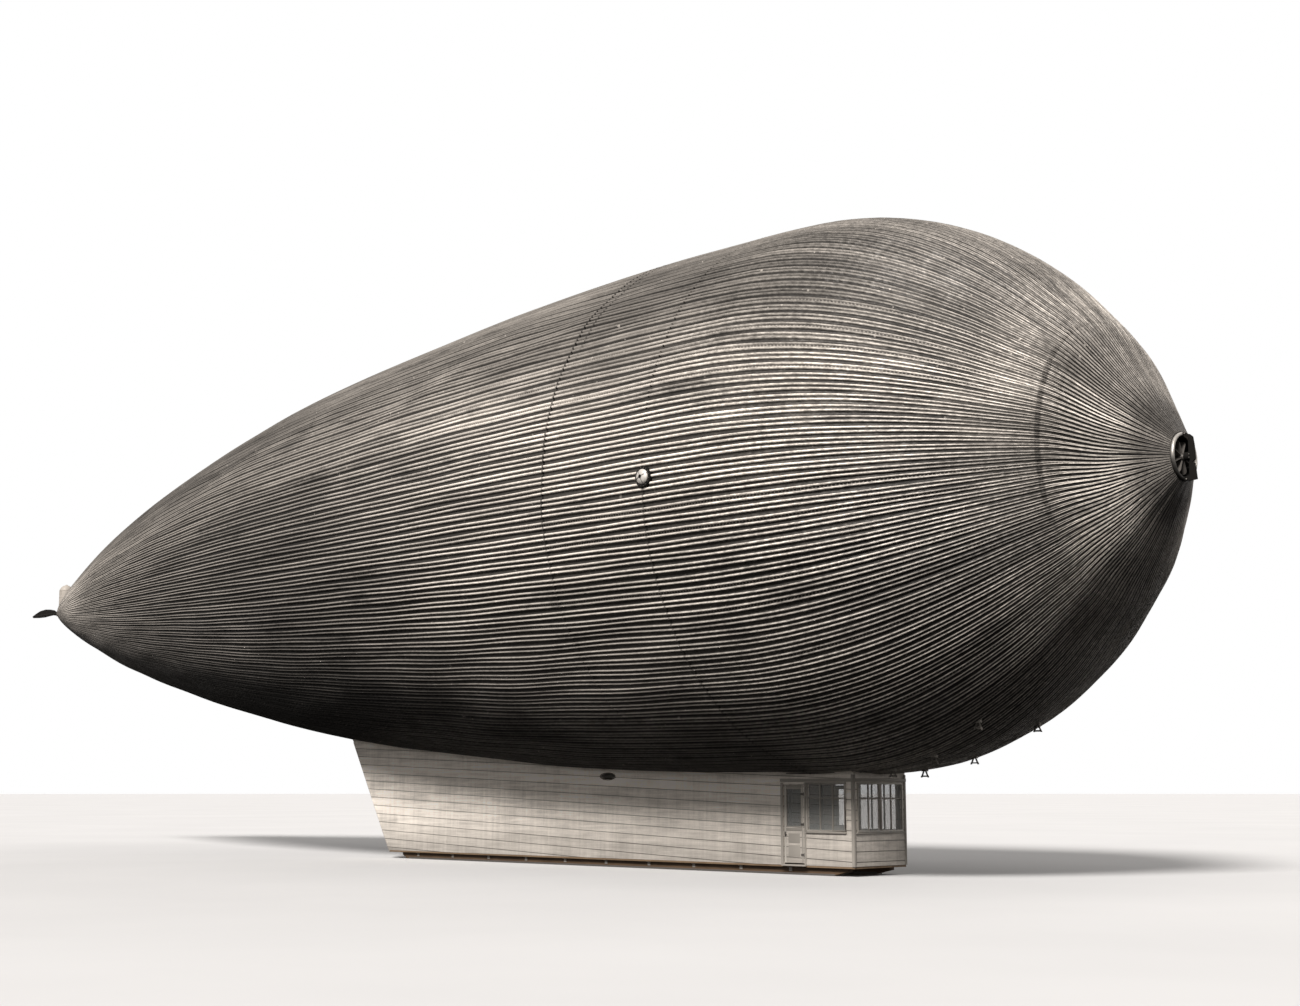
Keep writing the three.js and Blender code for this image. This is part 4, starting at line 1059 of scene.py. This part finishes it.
    # door: rails, kick plate, glazing frame, handle and hinges
    body = f"{tag}_door"
    refine(f"door_{tag}", LOOK_CAR, .002, body=body, slot="car_trim")
    bm = bmesh.new()
    for a, b, c, d in ((50.975, 51.05, .37, 2.775), (51.70, 51.76, .37, 2.775), (51.05, 51.70, .37, .47), (51.05, 51.70, 1.36, 1.45),
                       (51.05, 51.70, 2.69, 2.775)):
        rbox(bm, a, b, *side(1.298, 1.308), c, d)
    for a, b, c, d in ((51.065, 51.09, 1.49, 2.67), (51.66, 51.685, 1.49, 2.67), (51.065, 51.685, 1.475, 1.505), (51.065, 51.685, 2.655, 2.685)):
        rbox(bm, a, b, *side(1.27, 1.312), c, d)
    for a, b in ((51.14, 51.61),):
        for c, d in ((.56, .92), (.98, 1.28)):
            rbox(bm, a, b, *side(1.298, 1.305), c, d)
    from_bmesh(f"door_rails_{tag}", bm, LOOK_PALE, .0015, body=body, slot="car_trim", sharp=60)
    bm = bmesh.new()
    rtube(bm, (51.02, s * 1.305, 1.25), (51.02, s * 1.345, 1.25), .014, 12)
    rtube(bm, (51.02, s * 1.345, 1.25), (51.12, s * 1.345, 1.24), .012, 12, .009)
    rbox(bm, 50.995, 51.045, *side(1.304, 1.314), 1.17, 1.33)
    rtube(bm, (51.02, s * 1.255, 1.25), (51.02, s * 1.225, 1.25), .014, 12)
    rtube(bm, (51.02, s * 1.225, 1.25), (51.11, s * 1.225, 1.25), .011, 12)
    for z in (.62, 1.56, 2.5):
        rtube(bm, (51.79, s * 1.31, z - .06), (51.79, s * 1.31, z + .06), .012, 12)
        rbox(bm, 51.66, 51.785, *side(1.305, 1.316), z - .035, z + .035)
    from_bmesh(f"door_furniture_{tag}", bm, LOOK_DARK, 0, body=body, slot="dark_metal")
    NODES[f"door_glass_{tag}"].data.materials.clear()
    NODES[f"door_glass_{tag}"].data.materials.append(LOOK_GLASS)

    # ribs inside the cabin and the bench
    bm = bmesh.new()
    for x in list(np.arange(41.0, 50.6, 1.35)) + [51.9, 53.6]:
        top = hull_low(x, 1.26) - .12
        rbox(bm, x - .025, x + .025, *side(1.20, 1.258), .302, top)
        rbox(bm, x - .05, x + .05, *side(1.185, 1.20), .302, top)
    for x in np.arange(29.8, 39.9, 1.4):
        top = hull_low(x, 1.26) - .12
        rbox(bm, x - .03, x + .03, *side(1.19, 1.258), max(.302, (27.94 + RAKE * 4.65 + .1 - x) / RAKE), top)
    from_bmesh(f"car_ribs_{tag}", bm, LOOK_TRIM, .0015, slot="car_plating", sharp=60)
    bm = bmesh.new()
    for i in range(4):
        y = .785 + i * .103
        rbox(bm, 44.2, 50.2, *side(y, y + .088), .712, .74)
    for i in range(3):
        rbox(bm, 44.2, 50.2, *side(1.19, 1.215), .86 + i * .135, .975 + i * .135)
    from_bmesh(f"bench_slats_{tag}", bm, LOOK_BENCH, .003, replaces=[f"bench_{tag}"], slot="bench_wood", sharp=60)
    bm = bmesh.new()
    for x in (44.45, 45.85, 47.2, 48.55, 49.95):
        rtube(bm, (x, s * .83, .303), (x, s * .83, .70), .016, 10)
        rtube(bm, (x, s * 1.17, .303), (x, s * 1.17, .86), .016, 10)
        rtube(bm, (x, s * 1.17, .86), (x, s * 1.182, 1.22), .014, 10)
        rbox(bm, x - .02, x + .02, *side(.79, 1.19), .688, .712)
        rtube(bm, (x, s * .83, .42), (x, s * 1.17, .42), .010, 8)
        for y in (.83, 1.17):
            rbox(bm, x - .04, x + .04, *side(y - .035, y + .035), .302, .312)
    from_bmesh(f"bench_frames_{tag}", bm, LOOK_DARK, 0, slot="dark_metal")

# boards of the raked stern wall
bm = bmesh.new()
for n in range(14):
    z1 = 4.6299 - n * .32261
    z0 = max(z1 - .3166, .31)
    z1 = min(z1, 4.48)
    if z0 >= z1:
        break
    q = []
    for y in (-1.252, 1.252):
        q.append([bm.verts.new(rp(stern_x(z) - o, y, z)) for z, o in ((z1, .004), (z1, .008), (z0, .022), (z0, .004))])
    bm.faces.new(q[0])
    bm.faces.new(list(reversed(q[1])))
    for i in range(4):
        bm.faces.new((q[0][(i + 1) % 4], q[0][i], q[1][i], q[1][(i + 1) % 4]))
for y in (-.63, 0, .63):
    for i in range(24):
        z = .5 + i * .165
        add_dome(bm, rp(stern_x(z) - .02, y, z), (-.86, 0, -.5), .0045, .004, 6)
from_bmesh("stern_boards", bm, LOOK_CAR, 0, slot="car_plating")

# front: frames, pillar, boards under the windows, header
bm = bmesh.new()
for s in (-1, 1):
    a, b = (min(s * .06, s * 1.08), max(s * .06, s * 1.08))
    for c, d, e, f in ((a - .06, b + .06, 2.8, 2.865), (a - .06, b + .06, 1.335, 1.4), (a - .055, a, 1.4, 2.8), (b, b + .06, 1.4, 2.8)):
        rbox(bm, 53.77, 53.81, c, d, e, f)
    rbox(bm, 53.743, 53.787, a, b, 2.34, 2.375)
    m = (a + b) / 2
    rbox(bm, 53.74, 53.79, m - .018, m + .018, 1.4, 2.8)
rbox(bm, 53.77, 53.83, -1.3, 1.3, 2.885, 2.985)
rbox(bm, 53.77, 53.825, -1.25, 1.25, 1.29, 1.325)
for y in (-1.275, 1.275):
    rbox(bm, 53.765, 53.80, y - .04, y + .04, .30, 3.1)
from_bmesh("front_frames", bm, LOOK_PALE, .0025, slot="car_trim", sharp=60)
bm = bmesh.new()
for z1, z0 in ((1.28, 1.083), (1.077, .768), (.762, .453), (.447, .31)):
    q = []
    for y in (-1.23, 1.23):
        q.append([bm.verts.new(rp(53.772 + o, y, z)) for z, o in ((z1, 0), (z1, .004), (z0, .016), (z0, 0))])
    bm.faces.new(q[0])
    bm.faces.new(list(reversed(q[1])))
    for i in range(4):
        bm.faces.new((q[0][(i + 1) % 4], q[0][i], q[1][i], q[1][(i + 1) % 4]))
from_bmesh("front_boards", bm, LOOK_CAR, 0, slot="car_plating")
for node in ("side_glass_right", "side_glass_left", "front_glass_right", "front_glass_left"):
    NODES[node].data.materials.clear()
    NODES[node].data.materials.append(LOOK_GLASS)

# helm: column, wheel with spokes and handles
bm = bmesh.new()
rtube(bm, (53.06, 0, .302), (53.06, 0, .33), .085, 32)
rtube(bm, (53.06, 0, .33), (53.06, 0, 1.08), .055, 24, .038)
rbox(bm, 52.99, 53.14, -.07, .07, 1.06, 1.30)
rtube(bm, (52.91, 0, 1.2), (53.0, 0, 1.2), .022, 16)
rtube(bm, (52.902, 0, 1.2), (52.93, 0, 1.2), .045, 20)
n, m = 48, 10
ring = [[bm.verts.new(rp(52.916 + math.cos(b) * .014, math.cos(a) * (.205 + math.sin(b) * .014), 1.2 + math.sin(a) * (.205 + math.sin(b) * .014)))
         for b in (2 * math.pi * j / m for j in range(m))] for a in (2 * math.pi * i / n for i in range(n))]
for i in range(n):
    for j in range(m):
        bm.faces.new((ring[i][j], ring[i][(j + 1) % m], ring[(i + 1) % n][(j + 1) % m], ring[(i + 1) % n][j]))
for i in range(6):
    a = i / 6 * 2 * math.pi + math.pi / 6
    c, d = math.cos(a), math.sin(a)
    rtube(bm, (52.916, 0, 1.2), (52.916, c * .246, 1.2 + d * .246), .009, 8, .011)
from_bmesh("helm_wheel", bm, LOOK_BENCH, 0, replaces=["helm_stand"], slot="bench_wood")

# ---------------------------------------------------------------- power plant
sd = lambda s, a, b: (min(s * a, s * b), max(s * a, s * b))


def hoop(bm, c, R, r, n=28, m=8):
    """Round-section hoop lying level about c, real metres."""
    ring = [[bm.verts.new(rp(c[0] + math.cos(a) * (R + math.cos(b) * r), c[1] + math.sin(a) * (R + math.cos(b) * r), c[2] + math.sin(b) * r))
             for b in (2 * math.pi * j / m for j in range(m))] for a in (2 * math.pi * i / n for i in range(n))]
    for i in range(n):
        for j in range(m):
            bm.faces.new((ring[i][j], ring[(i + 1) % n][j], ring[(i + 1) % n][(j + 1) % m], ring[i][(j + 1) % m]))


bm = bmesh.new()
for y in (-.62, .62):  # bed rails and cross members
    rbox(bm, 33.4, 37.2, y - .05, y + .05, .302, .40)
    rbox(bm, 33.4, 37.2, y - .075, y + .075, .302, .322)
for x in (33.5, 34.4, 35.4, 36.3, 37.1):
    rbox(bm, x - .05, x + .05, -.575, .575, .33, .385)
for x in (33.85, 35.05):  # saddles with feet
    rbox(bm, x - .045, x + .045, -.42, .42, .385, .66)
    rbox(bm, x - .08, x + .08, -.48, .48, .385, .41)
from_bmesh("plant_bed", bm, LOOK_IRON, .003, replaces=["power_plant"], slot="engine_iron", sharp=60)
boiler = [(33.55, 0), (33.55, .42), (33.58, .50), (33.62, .53), (33.66, .53), (33.67, .545), (33.75, .545), (33.76, .53), (34.4, .53), (34.41, .545), (34.49, .545),
          (34.5, .53), (35.14, .53), (35.15, .545), (35.23, .545), (35.24, .53), (35.28, .53), (35.32, .50), (35.36, .38), (35.38, .2), (35.38, 0)]
lathe("plant_boiler", [(X(x), r * S) for x, r in boiler], LOOK_IRON, 64, (0, 0, 1.12 * S), slot="engine_iron")
casing = [(35.62, 0), (35.62, .14), (35.70, .16), (35.74, .34), (35.80, .40), (35.96, .44), (35.97, .47), (36.03, .47), (36.04, .44), (36.22, .38), (36.26, .30),
          (36.32, .18), (36.45, .15), (36.45, 0)]
lathe("plant_turbine", [(X(x), r * S) for x, r in casing], LOOK_IRON, 64, (0, 0, 1.0 * S), slot="engine_iron")
bm = bmesh.new()
# gear and dynamo casing: lower and upper halves, joint flange, ribs, cover, bearing covers
rbox(bm, 36.47, 37.08, -.29, .29, .47, .80)
rbox(bm, 36.44, 37.11, -.325, .325, .80, .84)
rbox(bm, 36.49, 37.06, -.26, .26, .84, 1.17)
rbox(bm, 36.54, 37.01, -.21, .21, 1.17, 1.205)
rbox(bm, 36.40, 37.15, -.36, .36, .40, .47)
for x in (36.56, 36.70, 36.85, 36.99):
    for q in (-1, 1):
        rbox(bm, x - .012, x + .012, *sd(q, .25, .305), .84, 1.14)
        rbox(bm, x - .012, x + .012, *sd(q, .28, .335), .47, .80)
for x in (37.06, 36.52):
    out = .05 if x > 36.8 else -.05
    rtube(bm, (x - out * .3, 0, 1.0), (x + out, 0, 1.0), .175, 32)
    rtube(bm, (x + out, 0, 1.0), (x + out * 1.5, 0, 1.0), .115, 28)
rtube(bm, (37.13, 0, 1.0), (37.19, 0, 1.0), .055, 20)
rtube(bm, (36.44, 0, 1.0), (36.52, 0, 1.0), .08, 20)
rtube(bm, (36.78, 0, 1.205), (36.78, 0, 1.26), .045, 20)
rtube(bm, (36.78, 0, 1.26), (36.78, 0, 1.28), .065, 20)
# turbine pedestal
rbox(bm, 35.80, 36.20, -.28, .28, .42, .68)
rbox(bm, 35.72, 36.28, -.36, .36, .385, .42)
for x in (35.85, 36.0, 36.15):
    for q in (-1, 1):
        rbox(bm, x - .012, x + .012, *sd(q, .27, .335), .42, .62)
# boiler manhole, water gauge, lugs
rtube(bm, (34.7, -.05, 1.58), (34.7, -.05, 1.69), .17, 32)
rtube(bm, (34.7, -.05, 1.69), (34.7, -.05, 1.715), .21, 32)
rtube(bm, (34.7, -.05, 1.715), (34.7, -.05, 1.735), .13, 32, .07)
rtube(bm, (34.1, -.56, .98), (34.1, -.56, 1.3), .014, 10)
for z in (.97, 1.3):
    rbox(bm, 34.07, 34.13, -.585, -.48, z - .025, z + .025)
for a, b, r in (((34.45, .2, 1.6), (34.45, .2, 1.78), .05), ((34.45, .2, 1.76), (35.9, .2, 1.76), .045), ((35.9, .2, 1.78), (35.9, .2, 1.36), .05),
                ((36.15, -.25, 1.3), (36.15, -.25, 1.80), .07), ((34.0, -.2, 1.55), (34.0, -.2, 1.83), .09), ((33.55, 0, .9), (33.42, 0, .9), .16),
                ((35.4, -.35, .7), (36.5, -.35, .7), .03), ((35.3, .4, .66), (36.5, .4, .66), .025)):
    rtube(bm, a, b, r, 24)
    d = Vector(b) - Vector(a)
    d = d / d.length * .022
    for q in ((a, Vector(a) + d), (Vector(b) - d, b)):
        rtube(bm, tuple(q[0]), tuple(q[1]), r * 1.5, 24)
for x in (34.9, 35.35):  # stop valves on the steam pipe
    rbox(bm, x - .07, x + .07, .135, .265, 1.70, 1.81)
    hoop(bm, (x, .2, 1.832), .065, .009)
    rbox(bm, x - .065, x + .065, .193, .207, 1.826, 1.838)
    rbox(bm, x - .007, x + .007, .135, .265, 1.826, 1.838)
for x in np.linspace(36.5, 37.05, 6):
    for q in (-1, 1):
        add_dome(bm, rp(x, q * .31, .84), (0, 0, 1), .006, .005, 6)
for x in np.linspace(33.55, 37.05, 15):
    for q in (-1, 1):
        add_dome(bm, rp(x, q * .62, .40), (0, 0, 1), .007, .006, 6)
for i in range(10):
    t = i / 10 * 2 * math.pi
    add_dome(bm, rp(37.11, math.cos(t) * .148, 1.0 + math.sin(t) * .148), (1, 0, 0), .006, .005, 6)
    add_dome(bm, rp(34.7 + math.cos(t) * .188, -.05 + math.sin(t) * .188, 1.715), (0, 0, 1), .006, .005, 6)
for i in range(16):
    t = i / 16 * 2 * math.pi
    add_dome(bm, (X(36.03), math.cos(t) * .455 * S, (1.0 + math.sin(t) * .455) * S), (1, 0, 0), .005, .005, 8)
    add_dome(bm, (X(33.56), math.cos(t) * .36 * S, (1.12 + math.sin(t) * .36) * S), (-1, 0, 0), .006, .005, 8)
from_bmesh("plant_pipes", bm, LOOK_IRON, 0, slot="engine_iron")
bm = bmesh.new()  # blank gauge dials on the boiler's fore end
for y in (-.16, .16):
    rtube(bm, (35.37, y, 1.36), (35.425, y, 1.36), .07, 28)
    rtube(bm, (35.425, y, 1.36), (35.435, y, 1.36), .06, 28, .056)
from_bmesh("plant_gauges", bm, LOOK_PALE, 0, slot="bright_metal")

# ---------------------------------------------------------------- stage
me = bpy.data.meshes.new("floor")
me.from_pydata([(15 + 800 * math.cos(i / 48 * math.pi), 800 * math.sin(i / 48 * math.pi), 0) for i in range(96)], [],
               [tuple(range(96))])
floor = bpy.data.objects.new("floor", me)
bpy.context.scene.collection.objects.link(floor)
k = Look("pale_floor", (.70, .72, .74), 0, .9, .1)
k.set(Base_Color=k.mix(k.noise(scale=.15, detail=4), (.64, .66, .68), (.74, .76, .78)))
me.materials.append(k.m)
floor.visible_diffuse = False
floor.visible_glossy = False

world = bpy.data.worlds.new("studio")
bpy.context.scene.world = world
world.use_nodes = True
wt = world.node_tree
wt.nodes.clear()
wout = wt.nodes.new("ShaderNodeOutputWorld")
mixs = wt.nodes.new("ShaderNodeMixShader")
path = wt.nodes.new("ShaderNodeLightPath")
back = wt.nodes.new("ShaderNodeBackground")
back.inputs[0].default_value = (1, 1, 1, 1)
amb = wt.nodes.new("ShaderNodeBackground")
geo = wt.nodes.new("ShaderNodeTexCoord")
sep = wt.nodes.new("ShaderNodeSeparateXYZ")
mr = wt.nodes.new("ShaderNodeMapRange")
mr.interpolation_type = "SMOOTHSTEP"
wt.links.new(geo.outputs["Generated"], sep.inputs[0])
wt.links.new(sep.outputs[2], mr.inputs[0])
for s, v in zip(mr.inputs[1:5], (-.25, .12, .02, .40)):
    s.default_value = v
amb.inputs[0].default_value = (1, .935, .885, 1)
wt.links.new(mr.outputs[0], amb.inputs[1])
wt.links.new(path.outputs["Is Camera Ray"], mixs.inputs[0])
wt.links.new(amb.outputs[0], mixs.inputs[1])
wt.links.new(back.outputs[0], mixs.inputs[2])
wt.links.new(mixs.outputs[0], wout.inputs[0])

sun = bpy.data.lights.new("key", "SUN")
sun.energy = 4.2
sun.angle = math.radians(16)
sun.color = (1, .935, .88)
so = bpy.data.objects.new("key", sun)
so.rotation_mode = "QUATERNION"
so.rotation_quaternion = Vector((.30, -.70, .62)).to_track_quat("Z", "Y")
bpy.context.scene.collection.objects.link(so)

fill = bpy.data.lights.new("fill", "SUN")
fill.energy = .9
fill.angle = math.radians(70)
fill.color = (1, .955, .92)
so = bpy.data.objects.new("fill", fill)
so.rotation_mode = "QUATERNION"
so.rotation_quaternion = Vector((-.25, .90, .22)).to_track_quat("Z", "Y")
bpy.context.scene.collection.objects.link(so)

# camera: yaw 2.3522, pitch 0.1568, standing eye height off the ship's starboard bow
yaw, pitch = 2.3522, .1568
fw = Vector((math.cos(pitch) * math.cos(yaw), math.cos(pitch) * math.sin(yaw), math.sin(pitch)))
cam = bpy.data.cameras.new("camera")
cam.lens = 50.43
cam.sensor_width = 36
cam.sensor_fit = "HORIZONTAL"
cam.clip_start, cam.clip_end = .1, 900
co = bpy.data.objects.new("camera", cam)
co.location = (29.0915, -22.935, 1.300)
co.rotation_mode = "QUATERNION"
co.rotation_quaternion = fw.to_track_quat("-Z", "Y")
bpy.context.scene.collection.objects.link(co)
bpy.context.scene.camera = co
bpy.context.scene.view_settings.view_transform = "Standard"
bpy.context.scene.view_settings.look = "None"
